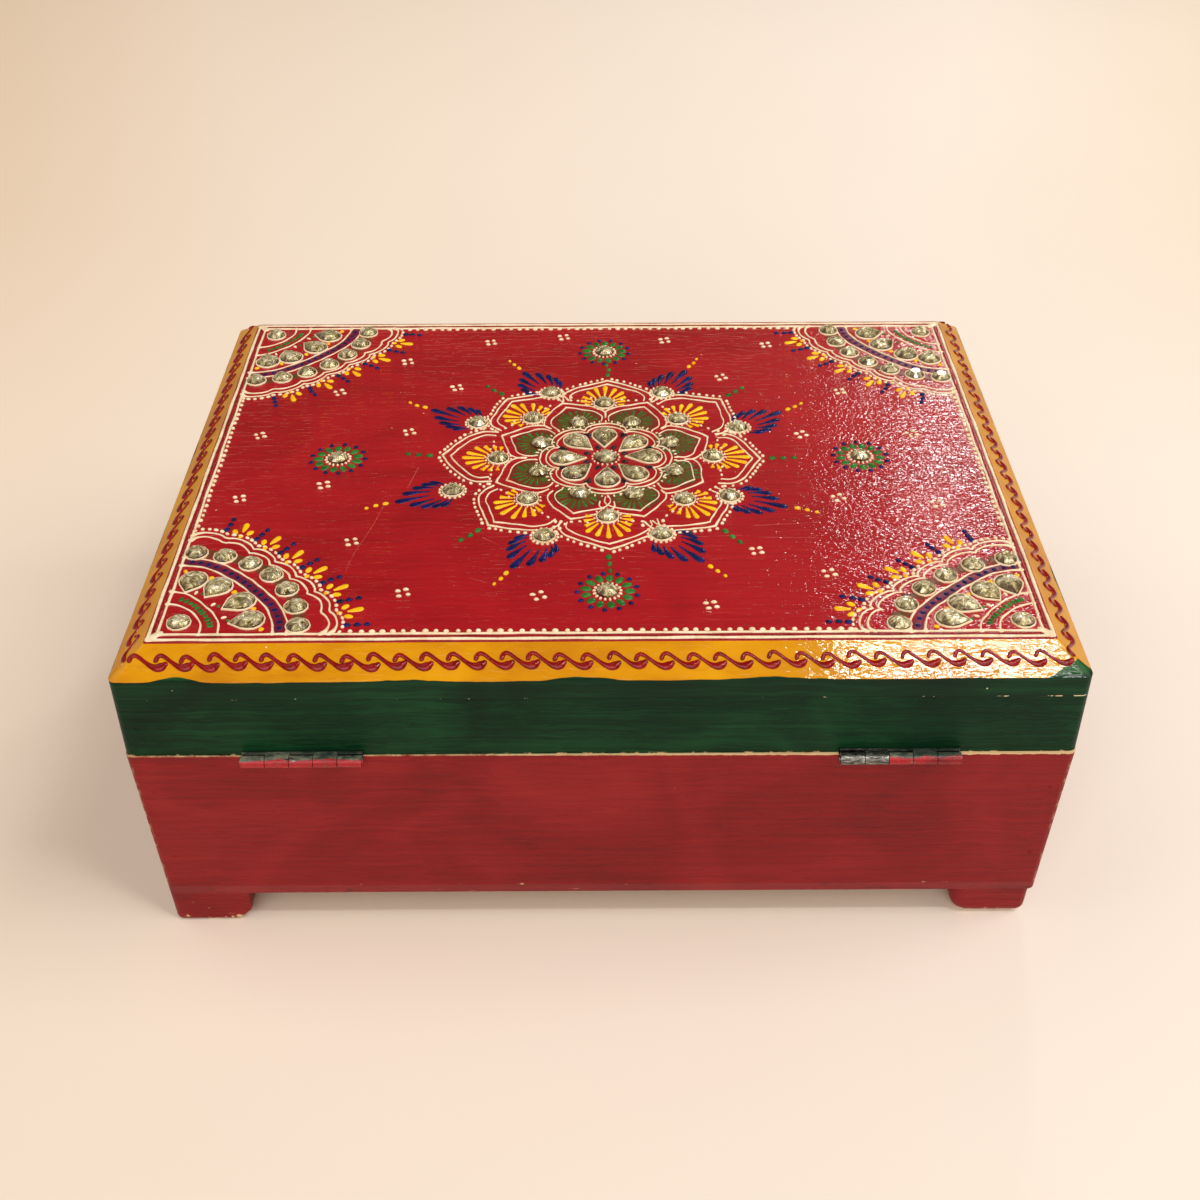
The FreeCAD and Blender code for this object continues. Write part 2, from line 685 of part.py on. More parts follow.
def lid_brad_places():
    levels = []
    for share in LID_BRAD_HEIGHT_SHARES:
        levels.append(("0", measure(f"({RIM} + {share} * sizes.rail_height)")))

    def half_length(_drop):
        return "(sizes.lid_length / 2)"

    def half_depth(_drop):
        return "(sizes.lid_depth / 2)"

    return corner_brad_places(half_length, half_depth, "sizes.rail_thickness", levels)


def tack_places():
    """Tacks through the plywood into the middle of each board, clear of the feet."""
    low_drop = "(sizes.wall_height + sizes.plywood_thickness)"
    x = measure(f"({base_half_length(low_drop)} - sizes.wall_thickness / 2)")
    y = measure(f"({base_half_depth(low_drop)} - sizes.wall_thickness / 2)")
    height = size("foot_height") + size("brad_sink")
    up = Vector(0, 0, 1)
    places = []
    for share in LONG_TACK_SHARES:
        places += [aim(share * x, side * y, height, up) for side in (-1, 1)]
    for share in SIDE_TACK_SHARES:
        places += [aim(side * x, share * y, height, up) for side in (-1, 1)]
    return places


def screw_places(direction):
    """Screws through the leaves: direction -1 for the base's leaves, 1 for the lid's."""
    rise = size("knuckle_radius") - size("leaf_thickness")
    height = measure(RIM) + direction * rise
    y = measure(HINGE_Y) - size("screw_reach")
    places = []
    offset = size("hinge_length") / 2 - size("screw_end_margin")
    for hinge_side in (-1, 1):
        for side in (-1, 1):
            x = hinge_side * measure(HINGE_X) + side * offset
            places.append(aim(x, y, height, Vector(0, 0, direction)))
    return places


# Hinges

def leaf_profile(sketch):
    """Plate that runs into a knuckle, seen along the pin, with the pin's axis at the origin."""
    radius = size("knuckle_radius")
    reach = size("leaf_reach")
    plate_top = size("leaf_thickness") - radius
    root = -math.sqrt(radius ** 2 - plate_top ** 2)
    meet = math.pi + math.asin(-plate_top / radius)
    corners = [(0, -radius), (-reach, -radius), (-reach, plate_top), (root, plate_top)]
    for start, end in zip(corners, corners[1:]):
        sketch.addGeometry(Part.LineSegment(Vector(*start, 0), Vector(*end, 0)), False)
    barrel = Part.Circle(Vector(0, 0, 0), Vector(0, 0, 1), radius)
    sketch.addGeometry(Part.ArcOfCircle(barrel, -math.pi / 2, meet), False)
    for constraint in (
            Sketcher.Constraint("Coincident", 3, 3, -1, 1),
            Sketcher.Constraint("Tangent", 0, 1, 3, 1),
            Sketcher.Constraint("Coincident", 0, 2, 1, 1),
            Sketcher.Constraint("Coincident", 1, 2, 2, 1),
            Sketcher.Constraint("Coincident", 2, 2, 3, 2),
            Sketcher.Constraint("Horizontal", 0),
            Sketcher.Constraint("Vertical", 1),
            Sketcher.Constraint("Horizontal", 2)):
        sketch.addConstraint(constraint)
    drive(sketch, [
        ("radius", Sketcher.Constraint("Radius", 3, radius), "sizes.knuckle_radius"),
        ("reach", Sketcher.Constraint("DistanceX", 0, 2, -1, 1, reach), "sizes.leaf_reach"),
        ("plate", Sketcher.Constraint("DistanceY", 1, 1, 1, 2, size("leaf_thickness")),
         "sizes.leaf_thickness"),
    ])


def rectangle(sketch, bounds):
    """Upright rectangle whose four sides are tied to expressions: left, right, low, high."""
    left, right, low, high = [measure(bound) for bound in bounds]
    first = sketch.GeometryCount
    corners = [(left, low), (right, low), (right, high), (left, high), (left, low)]
    for start, end in zip(corners, corners[1:]):
        sketch.addGeometry(Part.LineSegment(Vector(*start, 0), Vector(*end, 0)), False)
    for side in range(4):
        following = first + (side + 1) % 4
        sketch.addConstraint(Sketcher.Constraint("Coincident", first + side, 2, following, 1))
        kind = "Horizontal" if side % 2 == 0 else "Vertical"
        sketch.addConstraint(Sketcher.Constraint(kind, first + side))
    drive(sketch, [
        (f"left_{first}", Sketcher.Constraint("DistanceX", -1, 1, first, 1, left), bounds[0]),
        (f"right_{first}", Sketcher.Constraint("DistanceX", -1, 1, first, 2, right), bounds[1]),
        (f"low_{first}", Sketcher.Constraint("DistanceY", -1, 1, first, 1, low), bounds[2]),
        (f"high_{first}", Sketcher.Constraint("DistanceY", -1, 1, first + 1, 2, high), bounds[3]),
    ])


def hinge_leaf(name, other_knuckles):
    """Leaf with its own knuckles, cut away where the other leaf's knuckles turn."""
    body = doc.addObject("PartDesign::Body", name + "_body")
    profile = attach(body, name + "_profile", "YZ_Plane")
    leaf_profile(profile)
    plate = body.newObject("PartDesign::Pad", name + "_plate")
    plate.Profile = profile
    plate.Midplane = True
    bind(plate, {"Length": "sizes.hinge_length"})
    slots = attach(body, name + "_slots", "XY_Plane")
    pitch = "(sizes.hinge_length / sizes.knuckle_count)"
    for index in other_knuckles:
        start = f"({index} * {pitch} - sizes.hinge_length / 2)"
        rectangle(slots, (
            f"({start} - sizes.knuckle_gap / 2)",
            f"({start} + {pitch} + sizes.knuckle_gap / 2)",
            "(0 - sizes.knuckle_radius - sizes.leaf_relief)",
            "(sizes.knuckle_radius + sizes.overrun)"))
    clearing = body.newObject("PartDesign::Pocket", name + "_clearing")
    clearing.Profile = slots
    clearing.Midplane = True
    bind(clearing, {"Length": "(4 * sizes.knuckle_radius)"})
    eye = attach(body, name + "_eye", "YZ_Plane")
    bore_radius = "(sizes.hinge_pin_radius + sizes.hinge_pin_clearance)"
    eye.addGeometry(Part.Circle(Vector(0, 0, 0), Vector(0, 0, 1), measure(bore_radius)), False)
    eye.addConstraint(Sketcher.Constraint("Coincident", 0, 3, -1, 1))
    drive(eye, [("radius", Sketcher.Constraint("Radius", 0, measure(bore_radius)), bore_radius)])
    bore = body.newObject("PartDesign::Pocket", name + "_bore")
    bore.Profile = eye
    bore.Midplane = True
    bind(bore, {"Length": "(sizes.hinge_length + 2 * sizes.overrun)"})
    body.Tip = bore
    return body


def hinges(base_seats, lid_seats):
    """Two hinges: the base's leaves carry the outer and middle knuckles, the lid's the others."""
    count = round(size("knuckle_count"))
    for name, side in (("hinge_left", -1), ("hinge_right", 1)):
        centre = f"({side} * {HINGE_X})"
        base_leaf = hinge_leaf(name + "_base", range(1, count, 2))
        place(base_leaf, x=centre, y=HINGE_Y, z=RIM)
        finish(cut(name + "_base_cut", base_leaf, base_seats), name + "_base_leaf")
        lid_leaf = hinge_leaf(name + "_lid", range(0, count, 2))
        place(lid_leaf, x=centre, y=HINGE_Y, z=RIM, rotation=Rotation(Vector(0, 1, 0), 180))
        finish(cut(name + "_lid_cut", lid_leaf, lid_seats), name + "_lid_leaf")
        pin = doc.addObject("Part::Cylinder", name + "_pin_shaft")
        bind(pin, {"Radius": "sizes.hinge_pin_radius",
                   "Height": "(sizes.hinge_length + 2 * sizes.hinge_pin_overhang)"})
        start = f"({centre} - sizes.hinge_length / 2 - sizes.hinge_pin_overhang)"
        place(pin, x=start, y=HINGE_Y, z=RIM, rotation=Rotation(Vector(0, 1, 0), 90))
        finish(pin, name + "_pin")


def mortise(name, side, low_z, height):
    """Space cut into the seam for one leaf."""
    tool = doc.addObject("Part::Box", name)
    inner = f"({HINGE_Y} - sizes.leaf_reach - sizes.mortise_clearance)"
    bind(tool, {"Length": "(sizes.hinge_length + 2 * sizes.mortise_clearance)",
                "Width": f"({HINGE_Y} - {inner})", "Height": height})
    x = f"({side} * {HINGE_X} - sizes.hinge_length / 2 - sizes.mortise_clearance)"
    place(tool, x=x, y=inner, z=low_z)
    return tool


def mortises(prefix, low_z, height):
    return fuse(prefix + "_mortises", [
        mortise(prefix + "_left_mortise", -1, low_z, height),
        mortise(prefix + "_right_mortise", 1, low_z, height),
    ])


# Latch

def knobbed_pin(name, neck_radius, neck_length, clearance="0"):
    """Round-headed pin along Z: its seat is at Z = 0, its knob above and its shank below."""
    depth = f"(sizes.pivot_embed + {clearance})"
    shank = cylinder(name + "_shank", f"(sizes.screw_shank_radius + {clearance})", depth,
                     negative(depth))
    neck = cylinder(name + "_neck", neck_radius, neck_length)
    knob = doc.addObject("Part::Ellipsoid", name + "_knob")
    bind(knob, {"Radius1": "sizes.knob_height", "Radius2": "sizes.knob_radius",
                "Radius3": "sizes.knob_radius"})
    knob.Angle1 = 0
    place(knob, z=neck_length)
    return fuse(name + "_blank", [shank, neck, knob])


def latch_pivot():
    """Screw that holds the hook and its washer to the lid's front rail."""
    neck = "(sizes.latch_spacer_thickness + 2 * sizes.latch_play + sizes.latch_thickness)"
    pivot = knobbed_pin("latch_pivot", "sizes.pivot_radius", neck)
    place(pivot, y=negative("(sizes.lid_depth / 2)"), z=f"({RIM} + sizes.latch_pivot_rise)",
          rotation=Rotation(Vector(1, 0, 0), QUARTER_TURN))
    return finish(pivot, "latch_pivot_screw")


def latch_peg():
    """Peg on the base's front board that the hook's mouth closes on."""
    drop = "(sizes.latch_arm - sizes.latch_pivot_rise)"
    neck = (f"({LATCH_PLATE} + sizes.latch_thickness + sizes.peg_head_gap"
            f" - {base_half_depth(drop)})")
    peg = knobbed_pin("latch_peg", "sizes.peg_radius", neck)
    place(peg, y=negative(base_half_depth(drop)), z=f"({RIM} - {drop})",
          rotation=Rotation(Vector(1, 0, 0), QUARTER_TURN))
    return finish(peg, "latch_catch_peg")


def latch_hole(name, y, z):
    """Pilot hole in the wood for the pivot screw or the peg."""
    tool = doc.addObject("Part::Cylinder", name)
    bind(tool, {"Radius": "(sizes.screw_shank_radius + sizes.fastener_clearance)",
                "Height": "(sizes.pivot_embed + sizes.fastener_clearance + sizes.overrun)"})
    place(tool, y=f"({y} - sizes.overrun)", z=z, rotation=Rotation(Vector(1, 0, 0), -QUARTER_TURN))
    return tool


def latch_washer():
    """Washer that keeps the hook clear of the rim."""
    disc = cylinder("washer_disc", "sizes.latch_eye_radius", "sizes.latch_spacer_thickness")
    hole = cylinder("washer_hole", "(sizes.pivot_radius + sizes.pivot_clearance)",
                    "(sizes.latch_spacer_thickness + 2 * sizes.overrun)", negative("sizes.overrun"))
    washer = cut("latch_washer_blank", disc, hole)
    place(washer, y=negative("(sizes.lid_depth / 2)"), z=f"({RIM} + sizes.latch_pivot_rise)",
          rotation=Rotation(Vector(1, 0, 0), QUARTER_TURN))
    return finish(washer, "latch_washer")


def hook_outline(sketch):
    """Two round ends joined by their tangents, with the pivot at the origin."""
    arm = size("latch_arm")
    eye = size("latch_eye_radius")
    tip = size("latch_tip_radius")
    slant = math.asin((tip - eye) / arm)
    across = math.cos(slant)
    rise = math.sin(slant)
    normal = Vector(0, 0, 1)
    for side in (1, -1):
        upper = Vector(side * eye * across, eye * rise, 0)
        lower = Vector(side * tip * across, tip * rise - arm, 0)
        sketch.addGeometry(Part.LineSegment(upper, lower), False)
    upper_end = Part.Circle(Vector(0, 0, 0), normal, eye)
    sketch.addGeometry(Part.ArcOfCircle(upper_end, slant, math.pi - slant), False)
    lower_end = Part.Circle(Vector(0, -arm, 0), normal, tip)
    sketch.addGeometry(Part.ArcOfCircle(lower_end, math.pi - slant, 2 * math.pi + slant), False)
    for constraint in (
            Sketcher.Constraint("Coincident", 2, 3, -1, 1),
            Sketcher.Constraint("PointOnObject", 3, 3, -2),
            Sketcher.Constraint("Tangent", 0, 1, 2, 1),
            Sketcher.Constraint("Tangent", 1, 1, 2, 2),
            Sketcher.Constraint("Tangent", 1, 2, 3, 1),
            Sketcher.Constraint("Tangent", 0, 2, 3, 2)):
        sketch.addConstraint(constraint)
    drive(sketch, [
        ("eye", Sketcher.Constraint("Radius", 2, eye), "sizes.latch_eye_radius"),
        ("tip", Sketcher.Constraint("Radius", 3, tip), "sizes.latch_tip_radius"),
        ("arm", Sketcher.Constraint("DistanceY", 3, 3, -1, 1, arm), "sizes.latch_arm"),
    ])


def hook_mouth(sketch):
    """Slot round the peg, open to the right and wider at its opening."""
    arm = size("latch_arm")
    half = size("peg_radius") + size("peg_clearance")
    reach = size("latch_tip_radius") + size("overrun")
    flare = size("mouth_flare")
    corners = [(0, -arm - half), (reach, -arm - half), (reach, half + flare - arm), (0, half - arm)]
    for start, end in zip(corners, corners[1:]):
        sketch.addGeometry(Part.LineSegment(Vector(*start, 0), Vector(*end, 0)), False)
    closed_end = Part.Circle(Vector(0, -arm, 0), Vector(0, 0, 1), half)
    sketch.addGeometry(Part.ArcOfCircle(closed_end, math.pi / 2, 3 * math.pi / 2), False)
    for constraint in (
            Sketcher.Constraint("PointOnObject", 3, 3, -2),
            Sketcher.Constraint("PointOnObject", 3, 1, -2),
            Sketcher.Constraint("PointOnObject", 3, 2, -2),
            Sketcher.Constraint("Coincident", 3, 2, 0, 1),
            Sketcher.Constraint("Coincident", 0, 2, 1, 1),
            Sketcher.Constraint("Coincident", 1, 2, 2, 1),
            Sketcher.Constraint("Coincident", 2, 2, 3, 1),
            Sketcher.Constraint("Horizontal", 0),
            Sketcher.Constraint("Vertical", 1)):
        sketch.addConstraint(constraint)
    drive(sketch, [
        ("half", Sketcher.Constraint("Radius", 3, half), "(sizes.peg_radius + sizes.peg_clearance)"),
        ("arm", Sketcher.Constraint("DistanceY", 3, 3, -1, 1, arm), "sizes.latch_arm"),
        ("reach", Sketcher.Constraint("DistanceX", 0, 1, 0, 2, reach),
         "(sizes.latch_tip_radius + sizes.overrun)"),
        ("opening", Sketcher.Constraint("DistanceY", 1, 1, 1, 2, 2 * half + flare),
         "(2 * (sizes.peg_radius + sizes.peg_clearance) + sizes.mouth_flare)"),
    ])


def latch_hook():
    """Flat brass hook, stored turned aside from its peg."""
    body = doc.addObject("PartDesign::Body", "latch_hook_body")
    outline = attach(body, "hook_outline", "XZ_Plane")
    hook_outline(outline)
    plate = body.newObject("PartDesign::Pad", "hook_plate")
    plate.Profile = outline
    bind(plate, {"Length": "sizes.latch_thickness"})
    mouth_sketch = attach(body, "hook_mouth_outline", "XZ_Plane")
    hook_mouth(mouth_sketch)
    mouth = body.newObject("PartDesign::Pocket", "hook_mouth")
    mouth.Profile = mouth_sketch
    mouth.Midplane = True
    bind(mouth, {"Length": "(4 * sizes.latch_thickness)"})
    eye_sketch = attach(body, "hook_eye_outline", "XZ_Plane")
    eye_radius = "(sizes.pivot_radius + sizes.pivot_clearance)"
    eye_circle = Part.Circle(Vector(0, 0, 0), Vector(0, 0, 1), measure(eye_radius))
    eye_sketch.addGeometry(eye_circle, False)
    eye_sketch.addConstraint(Sketcher.Constraint("Coincident", 0, 3, -1, 1))
    drive(eye_sketch, [("radius", Sketcher.Constraint("Radius", 0, measure(eye_radius)), eye_radius)])
    eye = body.newObject("PartDesign::Pocket", "hook_eye")
    eye.Profile = eye_sketch
    eye.Midplane = True
    bind(eye, {"Length": "(4 * sizes.latch_thickness)"})
    body.Tip = eye
    place(body, y=negative(LATCH_PLATE), z=f"({RIM} + sizes.latch_pivot_rise)",
          rotation=Rotation(Vector(0, 1, 0), size("latch_rest_angle")))
    return finish(body, "latch_hook")


# Stones

def round_outline(radius):
    """Corners of a round stone's edge."""
    step = 2 * math.pi / ROUND_STONE_SIDES
    corners = range(ROUND_STONE_SIDES)
    return [Vector(radius * math.cos(step * k), radius * math.sin(step * k), 0) for k in corners]


def drop_outline(width, length):
    """Corners of a drop stone's edge: an arc about the origin, closed by a tip at -X."""
    radius = width / 2
    tip = length - radius
    tangent = math.pi - math.acos(radius / tip)
    outline = [Vector(-tip, 0, 0)]
    for step in range(DROP_ARC_STEPS):
        angle = tangent * (2 * step / (DROP_ARC_STEPS - 1) - 1)
        outline.append(Vector(radius * math.cos(angle), radius * math.sin(angle), 0))
    return outline


def faceted_stone(outline):
    """Flat-backed stone: an upright edge, a ring of triangular facets and a flat table."""
    count = len(outline)
    centre = sum(outline, Vector(0, 0, 0)) * (1 / count)
    lift = Vector(0, 0, size("stone_girdle"))
    top = Vector(0, 0, size("stone_height"))
    edge = [point + lift for point in outline]
    table = []
    for k in range(count):
        middle = (outline[k] + outline[(k + 1) % count]) * 0.5
        table.append(centre + (middle - centre) * TABLE_SHARE + top)
    faces = [polygon(outline), polygon(table)]
    for k in range(count):
        following = (k + 1) % count
        faces.append(polygon([outline[k], outline[following], edge[following], edge[k]]))
        faces.append(polygon([edge[k], edge[following], table[k]]))
        faces.append(polygon([edge[following], table[following], table[k]]))
    solid = Part.makeSolid(Part.makeShell(faces))
    if solid.Volume < 0:
        solid.reverse()
    return solid


def polygon(points):
    return Part.Face(Part.makePolygon(points + points[:1]))


def stone_group(label, outline, places):
    """Stones glued to the flat field; each place is X, Y and the turn in degrees."""
    pattern = faceted_stone(outline)
    height = measure(FIELD)
    stones = []
    for x, y, turn in places:
        stone = pattern.copy()
        stone.Placement = Placement(Vector(x, y, height), Rotation(Vector(0, 0, 1), turn))
        stones.append(stone)
    feature = doc.addObject("Part::Feature", label + "_set")
    feature.Shape = Part.makeCompound(stones)
    return finish(feature, label)


def ring_places(radius, first_angle, drops=False, stray_shares=((0, 0),) * PETALS):
    """Eight places on a ring about the middle flower's centre, each a little off by hand.

    A stray is a share of the radius outwards and a share of one step round the ring.
    """
    wander = size("hand_wander")
    step = FULL_TURN / PETALS
    places = []
    for k, (outwards, around) in enumerate(stray_shares):
        angle = first_angle + step * (k + around)
        reach = radius * (1 + outwards) + wander * math.sin(radius + 2 * k)
        heading = math.radians(angle) + wander * math.cos(radius + 3 * k) / radius
        x = size("ornament_shift_x") + reach * math.cos(heading)
        y = size("ornament_shift_y") + reach * math.sin(heading)
        turn = angle if drops else angle + FULL_TURN * k / (PETALS * ROUND_STONE_SIDES)
        places.append((x, y, turn))
    return places


def fan_reach(distance, angle, squeezed):
    """Distances along X and Y from the frame's corner; one fan was drawn squeezed."""
    along_x = distance * math.cos(math.radians(angle))
    along_y = distance * math.sin(math.radians(angle))
    if not squeezed:
        return along_x, along_y
    diagonal = math.sin(2 * math.radians(angle)) ** 2
    flat = 1 - (1 - SQUEEZED_DIAGONAL_SHARE) * diagonal
    return flat * SQUEEZED_FAN_SHARES[0] * along_x, flat * SQUEEZED_FAN_SHARES[1] * along_y


def fan_places(distance, angles_of):
    """Places at one distance from each corner of the frame, at the angles that a fan has."""
    corner_x = size("lid_length") / 2 - size("bevel_run") - size("frame_inset_x")
    corner_y = size("lid_depth") / 2 - size("bevel_run") - size("frame_inset_y")
    places = []
    for corner in ((-1, -1), (-1, 1), (1, -1), (1, 1)):
        squeezed = corner == SQUEEZED_FAN_SIDES
        for angle in angles_of(squeezed):
            along_x, along_y = fan_reach(distance, angle, squeezed)
            x = corner[0] * (corner_x - along_x)
            y = corner[1] * (corner_y - along_y)
            turn = math.degrees(math.atan2(-corner[1] * along_y, -corner[0] * along_x))
            places.append((x, y, turn))
    return places


def apex_angles(_squeezed):
    return [QUARTER_TURN / 2]


def drop_angles(_squeezed):
    return [QUARTER_TURN * share for share in FAN_DROP_ANGLE_SHARES]


def round_angles(squeezed):
    """Even angles for a fan's outer ring, which has one stone fewer in the squeezed fan."""
    count = SQUEEZED_FAN_ROUND_COUNT if squeezed else FAN_ROUND_COUNT
    margin = QUARTER_TURN * FAN_ROUND_MARGIN_SHARE
    step = (QUARTER_TURN - 2 * margin) / (count - 1)
    return [margin + step * k for k in range(count)]


def stones():
    """Kundan stones of the middle flower, the four side rosettes and the corner fans."""
    round_stone = round_outline(size("round_stone_radius"))
    centre_x = size("ornament_shift_x")
    centre_y = size("ornament_shift_y")
    stone_group("centre_stone", round_outline(size("centre_stone_radius")),
                [(centre_x, centre_y, 0)])
    petal_drop = drop_outline(size("petal_drop_width"), size("petal_drop_length"))
    stone_group("petal_drop_stones", petal_drop, ring_places(size("petal_ring"), 0, drops=True))
    half_step = FULL_TURN / PETALS / 2
    stone_group("inner_petal_stones", round_stone, ring_places(size("inner_ring"), half_step))
    stone_group("outer_petal_stones", round_stone, ring_places(size("outer_ring"), 0))
    sprays = ring_places(size("spray_ring"), half_step, stray_shares=SPRAY_STRAY_SHARES)
    stone_group("leaf_spray_stones", round_stone, sprays)
    reach_x = size("rosette_reach_x")
    reach_y = size("rosette_reach_y")
    stone_group("rosette_stones", round_stone, [
        (-reach_x, centre_y, 0), (reach_x, centre_y, 0),
        (centre_x, -reach_y, 0), (centre_x, reach_y, 0)])
    apex = math.hypot(size("fan_apex"), size("fan_apex"))
    stone_group("corner_apex_stones", round_stone, fan_places(apex, apex_angles))
    corner_drop = drop_outline(size("corner_drop_width"), size("corner_drop_length"))
    stone_group("corner_drop_stones", corner_drop, fan_places(size("fan_drop_ring"), drop_angles))
    stone_group("corner_round_stones", round_stone, fan_places(size("fan_round_ring"), round_angles))


# Assembly

def build_base(boards, panel, screw_seats):
    """Cut the base's boards for what they hold, and name them."""
    nail = brad()
    nail_seat = brad_seat()
    corner_places = base_brad_places()
    corner_seats = group("base_brad_holes", nail_seat, corner_places)
    finish(group("base_brads_set", nail, corner_places), "base_corner_brads")
    bottom_places = tack_places()
    bottom_seats = group("tack_holes", tack_seat(), bottom_places)
    finish(group("tacks_set", tack(), bottom_places), "bottom_tacks")
    common_cuts = [corner_seats, bottom_seats]
    drop = "(sizes.latch_arm - sizes.latch_pivot_rise)"
    peg_hole = latch_hole("peg_hole", negative(base_half_depth(drop)), f"({RIM} - {drop})")
    leaf_space = mortises("base", f"({RIM} - sizes.knuckle_radius)",
                          "(sizes.knuckle_radius + sizes.overrun)")
    own_cuts = {"base_front_board": [peg_hole], "base_back_board": [leaf_space, screw_seats]}
    for label, blank in boards.items():
        tool = fuse(label + "_cuts", common_cuts + own_cuts.get(label, []))
        finish(cut(label + "_cut", blank, tool), label)
    finish(cut("bottom_plywood_cut", panel, bottom_seats), "bottom_plywood")


def build_lid(rails, screw_seats):
    """Cut the lid's rails for what they hold, and name them."""
    places = lid_brad_places()
    corner_seats = group("lid_brad_holes", doc.getObject("brad_seat"), places)
    finish(group("lid_brads_set", doc.getObject("brad"), places), "lid_corner_brads")
    pivot_hole = latch_hole("pivot_hole", negative("(sizes.lid_depth / 2)"),
                            f"({RIM} + sizes.latch_pivot_rise)")
    leaf_space = mortises("lid", f"({RIM} - sizes.overrun)",
                          "(sizes.knuckle_radius + sizes.overrun)")
    own_cuts = {"lid_front_rail": [pivot_hole], "lid_back_rail": [leaf_space, screw_seats]}
    for label, blank in rails.items():
        tool = fuse(label + "_cuts", [corner_seats] + own_cuts.get(label, []))
        finish(cut(label + "_cut", blank, tool), label)


def check_document():
    """Stop if any feature failed or any sub-part has no sound shape."""
    doc.recompute()
    failed = [item.Name for item in doc.Objects if {"Invalid", "Error"} & set(item.State)]
    if failed:
        raise RuntimeError(f"features failed: {failed}")
    for node in nodes:
        if node.Shape.isNull() or not node.Shape.isValid() or not node.Shape.Solids:
            raise RuntimeError(f"no sound shape: {node.Label}")


def write_parts():
    os.makedirs("parts", exist_ok=True)
    for node in nodes:
        node.Shape.exportStep(f"parts/{node.Label}.step")
        print(node.Label, "solids", len(node.Shape.Solids), "volume", round(node.Shape.Volume, 1))


fill_sheet()
screw = hinge_screw()
screw_seat = hinge_screw_seat()
base_screw_places = screw_places(-1)
lid_screw_places = screw_places(1)
base_screw_seats = group("base_screw_seats", screw_seat, base_screw_places)
lid_screw_seats = group("lid_screw_seats", screw_seat, lid_screw_places)
finish(group("base_screws_set", screw, base_screw_places), "base_hinge_screws")
finish(group("lid_screws_set", screw, lid_screw_places), "lid_hinge_screws")
build_base(base_boards(), bottom_panel(), base_screw_seats)
build_lid(lid_rails(), lid_screw_seats)
top_board()
feet()
base_lining()
lid_lining()
hinges(base_screw_seats, lid_screw_seats)
latch_pivot()
latch_washer()
latch_peg()
latch_hook()
stones()
check_document()
write_parts()
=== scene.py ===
import random
from math import atan2, cos, hypot, pi, radians, remainder, sin, sqrt

import bmesh
import bpy
from mathutils import Matrix, Vector


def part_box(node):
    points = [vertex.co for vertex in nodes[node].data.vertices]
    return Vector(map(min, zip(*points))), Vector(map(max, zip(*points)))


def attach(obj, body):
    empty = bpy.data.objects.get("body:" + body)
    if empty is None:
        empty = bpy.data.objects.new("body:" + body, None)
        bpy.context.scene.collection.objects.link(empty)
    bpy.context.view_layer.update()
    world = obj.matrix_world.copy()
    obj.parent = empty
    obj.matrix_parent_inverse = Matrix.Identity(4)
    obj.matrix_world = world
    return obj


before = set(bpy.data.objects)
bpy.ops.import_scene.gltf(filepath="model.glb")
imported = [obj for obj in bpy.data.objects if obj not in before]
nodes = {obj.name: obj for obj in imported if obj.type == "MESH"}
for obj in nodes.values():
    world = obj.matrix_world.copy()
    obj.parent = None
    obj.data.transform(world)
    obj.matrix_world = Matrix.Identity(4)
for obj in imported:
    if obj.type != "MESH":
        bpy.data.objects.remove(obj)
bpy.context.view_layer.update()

# Painted keepsake chest. Lengths are in millimetres here and become metres in each mesh.
# The hinges are at +Y, and the photograph looks at the chest from that side.
MM = 0.001
# Each random number is drawn here, so the order of the calls counts.
draw = random.Random(7).uniform

# Levels and edges of the lid's top board, read from its CAD node in model.glb
board_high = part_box("lid_top_board")[1] / MM
board_points = [vertex.co / MM for vertex in nodes["lid_top_board"].data.vertices]
SAME_LEVEL = 0.01
FIELD = board_high.z
FIELD_X = max(point.x for point in board_points if point.z > FIELD - SAME_LEVEL)
FIELD_Y = max(point.y for point in board_points if point.z > FIELD - SAME_LEVEL)
EDGE_TOP = max(point.z for point in board_points if point.x > board_high.x - SAME_LEVEL)
BOARD_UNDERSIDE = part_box("lid_top_board")[0].z / MM
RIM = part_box("lid_left_rail")[0].z / MM
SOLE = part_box("bottom_plywood")[0].z / MM

# Frame lines of the ornament, as distances from the field's edge along X and Y
INNER_LINE = (2.9, 3.5)
STRIPE_LINE = (1.7, 2.4)
OUTER_LINE = (0.7, 1.3)
HEM_LINE = (0.3, 0.45)
FRAME_X = FIELD_X - INNER_LINE[0]
FRAME_Y = FIELD_Y - INNER_LINE[1]

# Raised paint. A section is shares of the width and of the height, or None at the sunk foot.
SINK = 0.08
LINE_HEIGHT = 0.34
BEAD_HEIGHT = 0.5
STROKE_SECTION = ((1, None), (0.8, 0.6), (0.32, 0.96), (-0.32, 0.96), (-0.8, 0.6), (-1, None))
BEAD_SECTION = ((1, None), (0.93, 0.35), (0.68, 0.78), (0.28, 1))
CAP_RINGS = ((0.5, 0.3), (0.3, 0.8))
FULL_TURN = 2 * pi
QUARTER = pi / 2
PETALS = 8
STEP = FULL_TURN / PETALS


# Finishes

def paint(red, green, blue):
    """Colour from its everyday 0 to 255 values."""
    def linear(value):
        share = value / 255
        return share / 12.92 if share <= 0.04045 else ((share + 0.055) / 1.055) ** 2.4
    return (linear(red), linear(green), linear(blue), 1)


